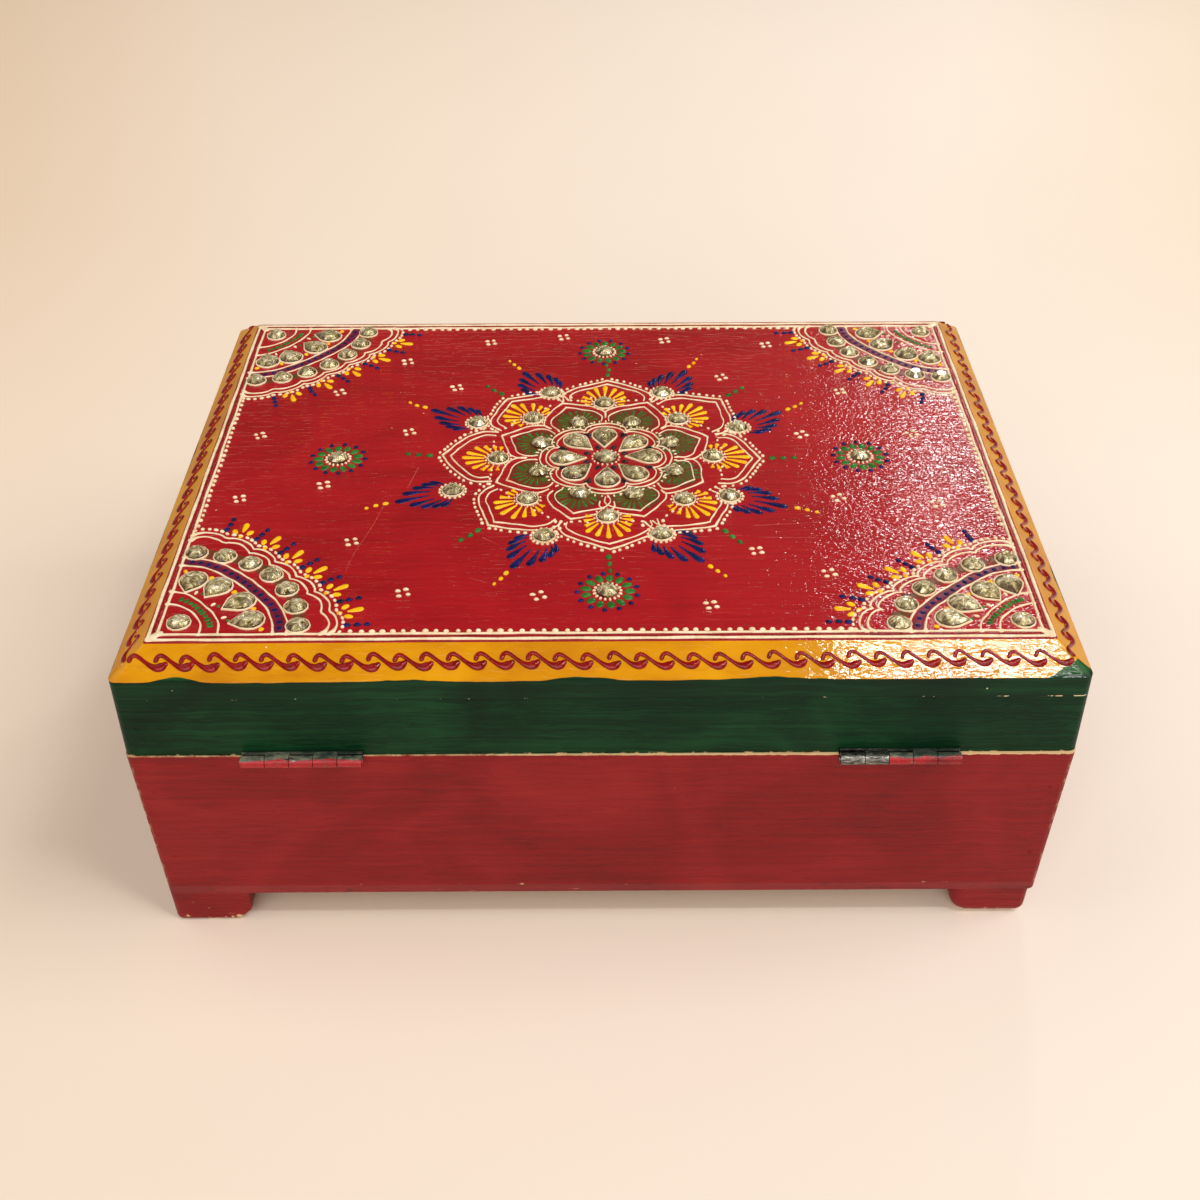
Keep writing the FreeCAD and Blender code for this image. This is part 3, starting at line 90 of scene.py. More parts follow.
class Value:
    """Number, place or colour from a node. Sums with it add the nodes that work them out."""

    def __init__(self, finish, socket):
        self.finish = finish
        self.socket = socket

    def __add__(self, other):
        return self.finish.calc("ADD", self, other)

    def __sub__(self, other):
        return self.finish.calc("SUBTRACT", self, other)

    def __mul__(self, other):
        return self.finish.calc("MULTIPLY", self, other)

    def __abs__(self):
        return self.finish.calc("ABSOLUTE", self)

    def most(self, other):
        return self.finish.calc("MAXIMUM", self, other)

    def between(self, low, high, out_low=0.0, out_high=1.0, curve="LINEAR"):
        """Value carried from one range to another, and held at its ends."""
        return self.finish.node("ShaderNodeMapRange", {
            "Value": self, "From Min": low, "From Max": high,
            "To Min": out_low, "To Max": out_high}, interpolation_type=curve)

    def mix(self, share, other, blend="MIX"):
        """Colour or height mixed with a share of another."""
        return self.finish.node("ShaderNodeMix", {0: share, 6: self, 7: other}, 2,
                                data_type="RGBA", blend_type=blend)


class Finish:
    """One material, built up from short calls. Its colours are everyday 0 to 255 values."""

    def __init__(self, name, roughness, **sockets):
        self.material = bpy.data.materials.new(name)
        self.material.use_nodes = True
        self.tree = self.material.node_tree
        self.shader = self.tree.nodes["Principled BSDF"]
        self.set(Roughness=roughness, **sockets)
        self.place = self.node("ShaderNodeTexCoord", output="Object")
        self.normal = self.node("ShaderNodeTexCoord", output="Normal")

    def node(self, kind, inputs=(), output=0, **settings):
        """Add a node, and return one of its outputs."""
        node = self.tree.nodes.new(kind)
        for name, value in settings.items():
            setattr(node, name, value)
        for socket, value in dict(inputs).items():
            self.feed(node.inputs[socket], value)
        return Value(self, node.outputs[output])

    def feed(self, socket, value):
        if isinstance(value, Value):
            self.tree.links.new(value.socket, socket)
        else:
            socket.default_value = paint(*value) if socket.type == "RGBA" else value

    def set(self, **sockets):
        for socket, value in sockets.items():
            self.feed(self.shader.inputs[socket.replace("_", " ")], value)

    def stretched(self, scales):
        """Object place in millimetres, times one scale or a scale for each axis."""
        if isinstance(scales, (int, float)):
            scales = (scales,) * 3
        scales = [scale / MM for scale in scales]
        return self.node("ShaderNodeMapping", {"Vector": self.place, "Scale": scales})

    def parts(self, vector):
        """X, Y and Z of a vector."""
        return [self.node("ShaderNodeSeparateXYZ", {"Vector": vector}, name) for name in "XYZ"]

    def axes(self):
        """Places along X, Y and Z, in millimetres."""
        return self.parts(self.stretched(1))

    def facing_up(self):
        """How squarely the surface faces upwards, from -1 to 1."""
        return self.parts(self.normal)[2]

    def noise(self, pattern, detail=4, roughness=0.55, distortion=0.0, scale=1.0, output="Fac"):
        """Cloudy pattern, over a value or with its own scales."""
        vector = pattern if isinstance(pattern, Value) else self.stretched(pattern)
        return self.node("ShaderNodeTexNoise", {
            "Vector": vector, "Scale": scale, "Detail": detail,
            "Roughness": roughness, "Distortion": distortion}, output)

    def cells(self, scales, feature="F1", output="Distance"):
        values = {"Vector": self.stretched(scales), "Scale": 1.0}
        return self.node("ShaderNodeTexVoronoi", values, output, feature=feature)

    def calc(self, operation, first, second=0.0):
        return self.node("ShaderNodeMath", {0: first, 1: second}, operation=operation)

    def ramp(self, value, colours, stops=(0.3, 0.5, 0.7)):
        """Colour from a value, with one colour at each stop."""
        ramp = self.node("ShaderNodeValToRGB", {"Fac": value}, "Color")
        elements = ramp.socket.node.color_ramp.elements
        while len(elements) < len(stops):
            elements.new(1)
        for element, stop, colour in zip(elements, stops, colours):
            element.position = stop
            element.color = paint(*colour)
        return ramp

    def bump(self, height, distance):
        """Normal from a height, whose full step is a distance in millimetres."""
        return self.node("ShaderNodeBump", {"Height": height, "Distance": distance * MM})

    def coat(self, colour, height, distance, names=(), **sockets):
        """Set colour, bump and other sockets, and give this finish to CAD nodes."""
        self.set(Base_Color=colour, Normal=self.bump(height, distance), **sockets)
        for name in names:
            materials = nodes[name].data.materials
            materials.clear()
            materials.append(self.material)


# Where the green climbs onto the back bevel: place and half width along X, and height
GREEN_HUMPS = ((109, 10, 0.9), (4, 16, 0.6), (-123, 9, 2.6))
ALONG_X = (0.012, 1.0, 1.0)
ALONG_Y = (1.0, 0.012, 1.0)

CREAM = (240, 220, 180)
BARE_WOOD = (214, 182, 136)
FIELD_RED = ((142, 5, 17), (162, 9, 25), (174, 16, 30))
BASE_RED = ((106, 12, 16), (130, 18, 22), (149, 31, 32))
OCHRE = ((186, 116, 0), (208, 140, 0), (222, 158, 4))
GREEN = ((2, 27, 12), (4, 43, 22), (18, 68, 36))


def brushed(finish, axes, colours, dark_hairs=0.25, light_hairs=0.2):
    """Paint brushed along wavy grain: streaks between three tones, and their height."""
    sway = finish.noise((0.06, 0.06, 0.12), 2, 0.5, output="Color")
    along = finish.node("ShaderNodeVectorMath", {
        0: sway, 1: [3.5 * share for share in axes], 2: finish.stretched(axes)},
        operation="MULTIPLY_ADD")
    streaks = finish.noise(along, 5, 0.6, 0.2, 0.9)
    patches = finish.noise((0.022, 0.03, 0.027), 2, 0.5, 1.2)
    hairs = finish.noise(along, 2, 0.5, 0.0, 3.0)
    colour = finish.ramp(streaks * 0.5 + patches * 0.5, colours, (0.32, 0.5, 0.7))
    colour = colour.mix(hairs.between(0.36, 0.28) * dark_hairs, colours[0])
    colour = colour.mix(hairs.between(0.62, 0.7) * light_hairs, colours[2])
    return colour, streaks + hairs * 0.6


def flecked(finish, colour, fleck, strength, share, size, chance):
    """Small round flecks, a share of cells wide, in a chosen part of the cells."""
    tone = finish.cells(share, output="Color")
    pick = finish.node("ShaderNodeSeparateColor", {"Color": tone})
    spot = finish.cells(share).between(size, size * 0.7)
    return colour.mix(spot * finish.calc("LESS_THAN", pick, chance) * strength, fleck)


def lid_top_finish():
    """Red field, ochre bevel and green edge, told apart by height, with hand-cut borders."""
    finish = Finish("lid_top_paint", 0.5, Specular_IOR_Level=0.06, Coat_Roughness=0.04)
    x, y, height = finish.axes()
    red, red_marks = brushed(finish, ALONG_X, FIELD_RED, 0.15, 0.06)
    ochre, ochre_marks = brushed(finish, (0.05, 0.05, 0.3), OCHRE)
    green, green_marks = brushed(finish, (0.03, 0.03, 1.0), GREEN)
    drift = finish.noise((0.025, 0.025, 0), 1)
    ragged = finish.noise((0.12, 0.12, 0), 2)
    border = drift.between(0.3, 0.7, -0.6, 0.3) + ragged.between(0.3, 0.7, -0.15, 0.15)
    past_mitre = abs(x) - (FIELD_X - FIELD_Y)
    on_back = (y - past_mitre).between(-3.5, -1)
    for place, half_width, rise in GREEN_HUMPS:
        lift = abs(x - place).between(half_width, 0.0, 0.0, rise, "SMOOTHSTEP")
        border = lift * on_back + border
    is_bevel = (height - border).between(EDGE_TOP, EDGE_TOP + 0.12)
    is_field = finish.calc("GREATER_THAN", height, FIELD - 0.05)
    # Higher up the bevel the green is mixed lighter, towards (40, 96, 40).
    higher_on_bevel = height.between(EDGE_TOP + 0.2, EDGE_TOP + 0.9, 0.0, 0.7)
    green = green.mix(higher_on_bevel, (40, 96, 40))
    colour = green.mix(is_bevel, ochre).mix(is_field, red)
    colour = flecked(finish, colour, CREAM, 0.75, 0.13, 0.035, 0.6)
    marks = green_marks.mix(is_bevel, ochre_marks).mix(is_field, red_marks)
    crackle = finish.cells(0.7, "DISTANCE_TO_EDGE").between(0.0, 0.12)
    ripple = finish.noise((0.4, 0.95, 0.95), 0, 0.5, 0.9)
    strokes = finish.noise((0.13, 0.8, 0.8), 0, 0.5, 0.4)
    level = crackle * x.between(-40, -85, 0.0, 0.15) + ripple
    level = strokes.between(0.56, 0.64) * 0.5 + level
    varnish_marks = finish.bump(level * is_field.between(0, 1, 0.25, 1.0), 0.15)
    varnish = is_bevel * x.between(-20, -90, 0.35, 0.6) + is_field * 0.1 + 0.2
    finish.coat(colour, marks, 0.1, ["lid_top_board"], Coat_Weight=varnish,
                Coat_Normal=varnish_marks)


def bare_rim(finish, colour, axes, past_x, past_y, facing):
    """Bare wood on a rim's flat face, with the paint run over its outer edge."""
    grain = finish.noise(axes, 5, 0.65, 0.4, 0.8)
    wood = finish.ramp(grain, ((160, 116, 70), (196, 156, 106), BARE_WOOD))
    run = finish.noise(0.13, 2, 0.5)
    edge = past_x.most(past_y) + run.between(0.3, 0.7, -2.5, 2.5)
    wood = wood.mix(edge.between(-2.6, -1.8), colour)
    return colour.mix(finish.facing_up().between(*facing), wood)


def rail_finish(name, axes, *rails):
    """Dark green rail with a hairline crack under the board and chips along the seam."""
    finish = Finish(name, 0.4, Specular_IOR_Level=0.12)
    x, y, height = finish.axes()
    colour, marks = brushed(finish, axes, GREEN, 0.3, 0.5)
    wander = finish.noise((0.08, 0.08, 0))
    crack = (wander * 0.5 + height).between(BOARD_UNDERSIDE - 0.1, BOARD_UNDERSIDE + 0.15)
    colour = colour.mix(crack * 0.7, (8, 16, 12))
    chips = finish.noise(0.3, 5, 0.7)
    flaked = (chips + x.between(-80, -124, 0.0, 0.14)).between(0.63, 0.67)
    colour = colour.mix(crack * flaked, CREAM)
    lip = height.between(RIM + 0.6, RIM)
    colour = colour.mix(lip * chips.between(0.56, 0.62), BARE_WOOD)
    past_x, past_y = abs(x) - board_high.x, abs(y) - board_high.y
    colour = bare_rim(finish, colour, axes, past_x, past_y, (-0.8, -0.95))
    colour = flecked(finish, colour, (190, 180, 150), 0.6, 0.1, 0.03, 0.35)
    finish.coat(colour, marks, 0.2, rails, Roughness=marks.between(0.4, 1.2, 0.3, 0.45))


def past_side(place, height, board, axis):
    """How far a place lies past the leaning outer face of a base board, below zero inside it."""
    points = [vertex.co / MM for vertex in nodes[board].data.vertices]
    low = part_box(board)[0].z / MM
    reaches = [max(abs(point[axis]) for point in points if abs(point.z - level) < SAME_LEVEL)
               for level in (low, RIM)]
    return abs(place) - height.between(low, RIM, *reaches)


def base_finish(name, axes, *boards):
    """Brick red board with a bare line along its rim and worn corners."""
    finish = Finish(name, 0.45, Specular_IOR_Level=0.2)
    x, y, height = finish.axes()
    colour, marks = brushed(finish, axes, BASE_RED)
    chips = finish.noise(0.35, 5, 0.7)
    ragged = chips * x.between(40, -100, 0.3, 1.5)
    rim_line = (height + ragged).between(RIM + 0.1, RIM + 0.2)
    past_x = past_side(x, height, "base_left_board", 0)
    past_y = past_side(y, height, "base_back_board", 1)
    corner = finish.calc("MINIMUM", past_x, past_y).between(-1.4, -0.2)
    worn = corner * chips.between(0.52, 0.58)
    chipped_low = height.between(SOLE + 3.7, SOLE + 3.2) * chips.between(0.64, 0.68)
    colour = colour.mix(rim_line.most(worn).most(chipped_low), BARE_WOOD)
    colour = flecked(finish, colour, (226, 190, 160), 0.6, 0.09, 0.03, 0.4)
    colour = bare_rim(finish, colour, axes, past_x, past_y, (0.8, 0.95))
    finish.coat(colour, marks, 0.18, boards, Roughness=marks.between(0.4, 1.2, 0.42, 0.58))


def foot_finish(name, wear, *feet):
    """Brick red block with paint rubbed off towards its sole."""
    finish = Finish(name, 0.45, Specular_IOR_Level=0.2)
    colour, marks = brushed(finish, ALONG_X, BASE_RED)
    rubbed = finish.axes()[2].between(3.6, 0.2) * wear
    bare = (finish.noise(0.3, 5, 0.7) + rubbed * 0.3).between(0.66, 0.72)
    finish.coat(colour.mix(bare, BARE_WOOD), marks, 0.18, feet)


def plywood_finish():
    """Plywood painted over at its edges, and bare and dusty underneath."""
    finish = Finish("plywood", 0.65)
    veneer = finish.noise((0.02, 0.6, 0.6), 6, 0.6, 0.8)
    wood = finish.ramp(veneer, ((150, 112, 72), (196, 160, 112), BARE_WOOD), (0.3, 0.55, 0.75))
    edge, marks = brushed(finish, (0.02, 0.02, 2.0), BASE_RED)
    chips = finish.noise((0.2, 0.2, 1.2), 5, 0.7)
    edge = edge.mix(chips.between(0.66, 0.7, 0.0, 0.6), BARE_WOOD)
    edge = edge.mix(chips.between(0.42, 0.36), (92, 18, 20))
    is_under = finish.facing_up().between(-0.6, -0.9)
    finish.coat(edge.mix(is_under, wood), veneer + marks, 0.15, ["bottom_plywood"])


def velvet_finish():
    """Wine-red velvet glued on card."""
    finish = Finish("velvet_lining", 0.9, Sheen_Weight=0.8, Sheen_Roughness=0.4,
                    Sheen_Tint=(190, 70, 90))
    pile = finish.noise(3, 2)
    nap = finish.noise(0.04, 4, 0.6, 1.0)
    colour = finish.ramp(pile * 0.4 + nap * 0.6, ((62, 8, 20), (96, 14, 30), (124, 26, 42)))
    finish.coat(colour, pile, 0.12, [name for name in nodes if name.endswith("liner")])


def hinge_finish(name, side, bare_share):
    """Steel hinge painted along with the wood, with bare knuckles over a share at its +X end."""
    finish = Finish(name, 0.3, Specular_IOR_Level=0.4)
    x, y, height = finish.axes()
    parts = [f"hinge_{side}_{part}" for part in ("base_leaf", "lid_leaf", "pin")]
    low, high = [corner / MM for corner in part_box(parts[-1])]
    pin_y = (low.y + high.y) / 2
    bare_from = high.x - bare_share * (high.x - low.x)
    wander = finish.noise(0.35, 4, 0.6)
    steel = finish.ramp(finish.noise((0.5, 2, 2), 5, 0.65), (
        (52, 50, 48), (116, 114, 108), (206, 204, 198)), (0.35, 0.55, 0.72))
    red, marks = brushed(finish, (0.3, 0.3, 0.6), ((98, 5, 12), (156, 12, 23), (186, 30, 38)))
    green, _marks = brushed(finish, (0.4, 0.8, 0.8), (
        (18, 30, 26), (56, 68, 58), (142, 140, 118)))
    drift = finish.noise((0.09, 0, 0), 1).between(0.3, 0.7, -0.3, 0.3)
    split = height + wander.between(0.3, 0.7, -0.15, 0.15) + drift
    # Towards the board the knuckles take the grey-green, and next to the rail the rail's darkest
    # green: partly paint run over the steel, partly painted shade in the gap under the rail.
    above = split.between(RIM + 1.3, RIM + 1.45).most(y.between(pin_y + 0.3, pin_y + 0.1))
    past_board = y - board_high.y
    rail_green_and_shade = past_board.between(0.8, 0.4) * height.between(RIM + 1.2, RIM + 1.5)
    colour = red.mix(above, green).mix(rail_green_and_shade, GREEN[0])
    rubbed = finish.noise(0.3, 3, 0.6).between(0.34, 0.32)
    bare = rubbed.most(x.between(bare_from - 0.3, bare_from)) - rail_green_and_shade
    bare = bare.most(past_board.between(-0.2, -0.8))
    finish.coat(colour.mix(bare, steel), marks, 0.15, parts, Metallic=bare * 0.9,
                Roughness=wander.between(0.3, 0.7, 0.2, 0.4))


def metal_finish(name, colours, roughness, *parts):
    """Plain worn metal with dull patches."""
    finish = Finish(name, roughness, Metallic=1.0)
    patches = finish.noise(0.6, 5, 0.65)
    colour = finish.ramp(patches, colours, (0.35, 0.55, 0.75))
    finish.coat(colour, finish.noise(4, 3), 0.02, parts,
                Roughness=patches.between(0.35, 0.7, roughness + 0.15, roughness - 0.05))


def foiled_glass_finish():
    """Flat-backed glass over wrinkled foil, olive grey: bright in places as painted highlights,
    brown at the rim as painted shade, and each facet with a painted reflection.
    """
    finish = Finish("foiled_glass", 0.18, Metallic=0.5, Coat_Weight=0.8, Coat_Roughness=0.04)
    patch = finish.noise(0.22, 2, 0.5, 1.5)
    wrinkle = finish.noise(0.5, 2, 0.4, 1.4)
    # Painted reflection: each facet gets its own fixed lighter or darker tone from its normal.
    facet_painted_reflection = finish.noise(finish.normal, 0, 0.0, 0.0, 3.1)
    level = patch * 0.4 + wrinkle * 0.35 + facet_painted_reflection * 0.4 - 0.07
    # Painted shade: lower down towards the rim the tone goes darker and browner.
    level = level + finish.axes()[2].between(FIELD + 0.4, FIELD + 1.6, -0.1, 0.02)
    # The palest tones are painted highlights.
    colour = finish.ramp(level, (
        (76, 50, 24), (118, 104, 60), (174, 160, 112), (222, 210, 168), (255, 250, 226)),
        (0.34, 0.42, 0.5, 0.57, 0.64))
    stones = [name for name in nodes if name.endswith("_stones")]
    finish.coat(colour, wrinkle, 0.9, ["centre_stone", *stones])


def raised_finish(name, colours, roughness=0.25, shine=0.35, bump=0.06):
    """Thick paint squeezed from a cone: glossy, with thin and dirty places."""
    finish = Finish(name, roughness, Specular_IOR_Level=shine)
    colour = finish.ramp(finish.noise(0.35, 5, 0.65), colours)
    ripple = finish.noise(1.4, 3)
    finish.coat(colour, ripple, bump,
                Roughness=ripple.between(0.3, 0.7, roughness - 0.08, roughness + 0.12))


def wash_finish():
    """Thin green wash over the red, brushed out from each stone."""
    finish = Finish("green_wash", 0.35, Specular_IOR_Level=0.3)
    local = finish.node("ShaderNodeUVMap", uv_map="from_stone")
    x, y, _flat = finish.parts(local)
    angle = finish.calc("ARCTAN2", y, x)
    rays = finish.noise(finish.node("ShaderNodeCombineXYZ", {"X": angle * 4.5}), 2)
    reach = finish.node("ShaderNodeVectorMath", {0: local}, "Value", operation="LENGTH")
    level = rays * 0.7 + finish.noise(0.2) * 0.3
    colour = finish.ramp(level, ((118, 24, 20), (102, 58, 24), (82, 74, 26), (50, 94, 34)),
                         (0.38, 0.48, 0.58, 0.74))
    faded = (rays * 3.0 + reach).between(6.5, 10.5)
    finish.coat(colour.mix(faded, (120, 22, 22)), rays, 0.05)


# Raised paint

def on_field(x, y, rise):
    return Vector((x, y, FIELD + rise))


def bevel_face(outward):
    """Map from a place along and up one bevel to a point on it, and the bevel's width."""
    outward = Vector(outward)
    along = Vector((-outward.y, outward.x, 0))
    upward = Vector((0, 0, 1))
    half = board_high.x if outward.x else board_high.y
    field_half = FIELD_X if outward.x else FIELD_Y
    foot = outward * half + upward * EDGE_TOP
    slope = outward * (field_half - half) + upward * (FIELD - EDGE_TOP)
    climb = slope.normalized()
    normal = along.cross(climb)

    def on_bevel(u, v, rise):
        return foot + along * u + climb * v + normal * rise

    return on_bevel, slope.length


def in_scene(name, data):
    """Object made from a mesh, a light or a camera."""
    made = bpy.data.objects.new(name, data)
    bpy.context.scene.collection.objects.link(made)
    return made


def polar(centre, reach, angle):
    """Place at a distance and an angle from a centre."""
    return centre[0] + reach * cos(angle), centre[1] + reach * sin(angle)


def rectangle(half_x, half_y):
    return [(-half_x, -half_y), (half_x, -half_y), (half_x, half_y), (-half_x, half_y)]


def even_shares(count):
    """A number of shares spread evenly from -1 to 1."""
    return [2 * j / (count - 1) - 1 for j in range(count)]


def moved(knots, origin, angle):
    """Knots in a petal's own axes, outwards and sideways, carried onto the field."""
    cos, sin = polar((0, 0), 1, angle)
    return [(origin[0] + u * cos - v * sin, origin[1] + u * sin + v * cos, *width)
            for u, v, *width in knots]


class Relief:
    """Closed shells of raised paint, gathered into one piece that rides on the lid."""

    made = []

    def __init__(self, name, paint_name):
        self.name = name
        self.paint_name = paint_name
        self.points = []
        self.faces = []
        self.local = []
        Relief.made.append(self)

    def shell(self, rings, local=None):
        """Join a row of equal rings, and cap both ends."""
        first, count = len(self.points), len(rings[0])
        last = first + (len(rings) - 1) * count
        for ring in rings:
            self.points.extend(ring)
            self.local.extend(local or [(0, 0)] * count)
        for row in range(first, last, count):
            for k in range(count):
                near, beside = row + k, row + (k + 1) % count
                self.faces.append((near, beside, beside + count, near + count))
        for end in (first, last):
            self.faces.append(tuple(range(end, end + count)))

    def bead(self, place, length, width, turn=0.0, height=BEAD_HEIGHT):
        """Dome of paint, longer along its turn."""
        sides = 8 if max(length, width) < 1.5 else 12
        circle = [polar((0, 0), 0.5, FULL_TURN * k / sides) for k in range(sides)]
        rings = []
        for spread, rise in BEAD_SECTION:
            level = -SINK if rise is None else rise * height
            oval = [(spread * length * u, spread * width * v) for u, v in circle]
            rings.append([on_field(x, y, level) for x, y in moved(oval, place, turn)])
        self.shell(rings)

    def stroke(self, path, height=LINE_HEIGHT, face=on_field):
        """Rounded strip along a path whose points are X, Y and the width there."""
        widest = max(point[2] for point in path)
        rings = []
        for x, y, width, side_x, side_y in with_round_ends(path):
            rise = height * sqrt(width / widest)
            ring = []
            for across, up in STROKE_SECTION:
                level = -SINK if up is None else up * rise
                reach = across * width / 2
                ring.append(face(x + side_x * reach, y + side_y * reach, level))
            rings.append(ring)
        self.shell(rings)

    def patch(self, outline, origin, height):
        """Thin flat patch inside an outline, with places measured from an origin."""
        rings = [[on_field(x, y, level) for x, y in outline] for level in (-SINK, height)]
        self.shell(rings, [(x - origin[0], y - origin[1]) for x, y in outline])

    def piece(self):
        """Make the mesh, and let it ride on the lid."""
        mesh = bpy.data.meshes.new(self.name)
        mesh.from_pydata([point * MM for point in self.points], [], self.faces)
        layer = mesh.uv_layers.new(name="from_stone")
        for loop in mesh.loops:
            layer.data[loop.index].uv = self.local[loop.vertex_index]
        work = bmesh.new()
        work.from_mesh(mesh)
        bmesh.ops.recalc_face_normals(work, faces=work.faces)
        work.to_mesh(mesh)
        work.free()
        mesh.shade_smooth()
        mesh.set_sharp_from_angle(angle=radians(62))
        mesh.materials.append(bpy.data.materials[self.paint_name])
        piece = in_scene(self.name, mesh)
        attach(piece, "lid")


def with_round_ends(path):
    """Path with its sideways direction at each point, and narrowing rings past its ends."""
    rows = []
    for k, (x, y, width) in enumerate(path):
        before = path[max(k - 1, 0)]
        after = path[min(k + 1, len(path) - 1)]
        run_in = unit(x - before[0], y - before[1])
        run_out = unit(after[0] - x, after[1] - y)
        heading = unit(run_in[0] + run_out[0], run_in[1] + run_out[1])
        known = run_out if k == 0 else run_in
        lean = max(0.55, abs(heading[0] * known[0] + heading[1] * known[1]))
        rows.append((x, y, width, -heading[1] / lean, heading[0] / lean))
    head = [cap_row(rows[0], -reach, share) for reach, share in CAP_RINGS]
    tail = [cap_row(rows[-1], reach, share) for reach, share in reversed(CAP_RINGS)]
    return head + rows + tail


def cap_row(row, reach, share):
    x, y, width, side_x, side_y = row
    return (x + side_y * reach * width, y - side_x * reach * width, width * share, side_x, side_y)


def unit(x, y):
    length = hypot(x, y)
    return (x / length, y / length) if length > 1e-9 else (0.0, 0.0)


def smooth(knots, steps=5):
    """Even curve through given knots of X, Y and width."""
    path = []
    for k in range(len(knots) - 1):
        before, after = knots[max(k - 1, 0)], knots[min(k + 2, len(knots) - 1)]
        near = list(zip(before, knots[k], knots[k + 1], after))
        path.extend(tuple(spline(*values, step / steps) for values in near)
                    for step in range(steps))
    return path + [tuple(knots[-1])]


def spline(before, a, b, after, share):
    """Catmull-Rom curve between a and b."""
    bend = 2 * before - 5 * a + 4 * b - after
    twist = 3 * (a - b) + after - before
    return a + 0.5 * share * (b - before + share * (bend + share * twist))


def by_hand(path, amount=0.14, wave=13.0):
    """Path that strays a little, as a hand does."""
    phases = [draw(0, FULL_TURN) for _ in range(4)]
    run = 0.0
    strayed = []
    for k, (x, y, width) in enumerate(path):
        if k:
            run += hypot(x - path[k - 1][0], y - path[k - 1][1])
        slow = run / wave * FULL_TURN
        dx = sin(slow + phases[0]) + 0.5 * sin(2.3 * slow + phases[1])
        dy = sin(slow + phases[2]) + 0.5 * sin(2.3 * slow + phases[3])
        swell = 1 + 0.16 * sin(1.7 * slow + phases[1])
        strayed.append((x + amount * dx, y + amount * dy, width * swell))
    return strayed


def even_points(path, spacing, offset=0.0):
    """Points along a path at about even spacing, moved sideways, with the path's heading."""
    points = []
    due = spacing / 2
    run = 0.0
    for (x0, y0, *_a), (x1, y1, *_b) in zip(path, path[1:]):
        length = hypot(x1 - x0, y1 - y0)
        if length < 1e-9:
            continue
        heading = atan2(y1 - y0, x1 - x0)
        while due <= run + length:
            share = (due - run) / length
            x = x0 + share * (x1 - x0) - offset * sin(heading)
            y = y0 + share * (y1 - y0) + offset * cos(heading)
            points.append((x, y, heading))
            due += spacing * draw(0.86, 1.14)
        run += length
    return points


def beads_along(path, spacing, size, stretch, offset=0.0, height=BEAD_HEIGHT):
    """Row of cream beads beside a path."""
    for x, y, heading in even_points(path, spacing, offset):
        across = size * draw(0.82, 1.15)
        place = (x + draw(-0.12, 0.12), y + draw(-0.12, 0.12))
        beads.bead(place, across * stretch, across, heading, height)


def teardrop(relief, origin, angle, start, end, fat, height):
    """Stroke that starts thin near the origin and swells to a round end."""
    run = end - start
    knots = [(start, 0, 0.3 * fat), (start + 0.4 * run, 0, 0.6 * fat),
             (start + 0.78 * run, 0, 0.95 * fat), (end - 0.5 * fat, 0, fat)]
    relief.stroke(smooth(moved(knots, origin, angle), 3), height)


# The stones' places, read from the CAD nodes in model.glb

def stone_outlines(name):
    """Centre and lower outline of each stone in a node, with the outline anticlockwise."""
    mesh = nodes[name].data
    spot_of = [tuple(round(value / MM, 3) for value in vertex.co) for vertex in mesh.vertices]
    leader = {spot: spot for spot in spot_of}

    def find(spot):
        while leader[spot] != spot:
            spot = leader[spot]
        return spot

    for polygon in mesh.polygons:
        spots = [find(spot_of[index]) for index in polygon.vertices]
        for spot in spots[1:]:
            leader[find(spot)] = find(spots[0])
    groups = {}
    for spot in sorted(leader):
        groups.setdefault(find(spot), []).append(spot)
    outlines = []
    for spots in sorted(groups.values()):
        base = [Vector(spot[:2]) for spot in spots if spot[2] < FIELD + SAME_LEVEL]
        middle = sum(base, Vector((0, 0))) / len(base)
        base.sort(key=lambda point: atan2(point.y - middle.y, point.x - middle.x))
        outlines.append((middle, base))
    return outlines


def ring_round(stone, gap, width):
    """Line of paint that holds a stone's edge."""
    middle, outline = stone
    path = [(*(point + (point - middle).normalized() * gap), width)
            for point in outline + outline[:1]]
    settings.stroke(by_hand(path, 0.06, 7), 0.55)


def beads_round(stone, gap, size, spacing, length=1.0):
    """Ring of cream beads round a stone."""
    middle, outline = stone
    radius = max((point - middle).length for point in outline) + gap
    count = round(FULL_TURN * radius / spacing)
    first = draw(0, 1)
    for k in range(count):
        angle = FULL_TURN * (k + first) / count
        beads.bead(polar(middle, radius, angle), size * length * draw(0.85, 1.15), size, angle)


flower = stone_outlines("centre_stone")[0][0]
stripe = Relief("frame_stripe", "stripe_red")
scratch_marks = Relief("field_scratches", "scratch_paint")
scroll_row = Relief("bevel_scrolls", "scroll_red")
lines = Relief("cream_lines", "cream_paint")
beads = Relief("cream_beads", "cream_paint")
settings = Relief("stone_settings", "cream_paint")
yellow = Relief("yellow_strokes", "yellow_paint")
green = Relief("green_strokes", "green_paint")
navy = Relief("navy_strokes", "navy_paint")
plum = Relief("plum_washes", "plum_paint")
dark = Relief("dark_dots", "dark_paint")
washes = Relief("green_washes", "green_wash")
olive = Relief("olive_smudges", "olive_paint")


# The middle flower. A petal's own axes are outwards from the flower's centre and sideways.

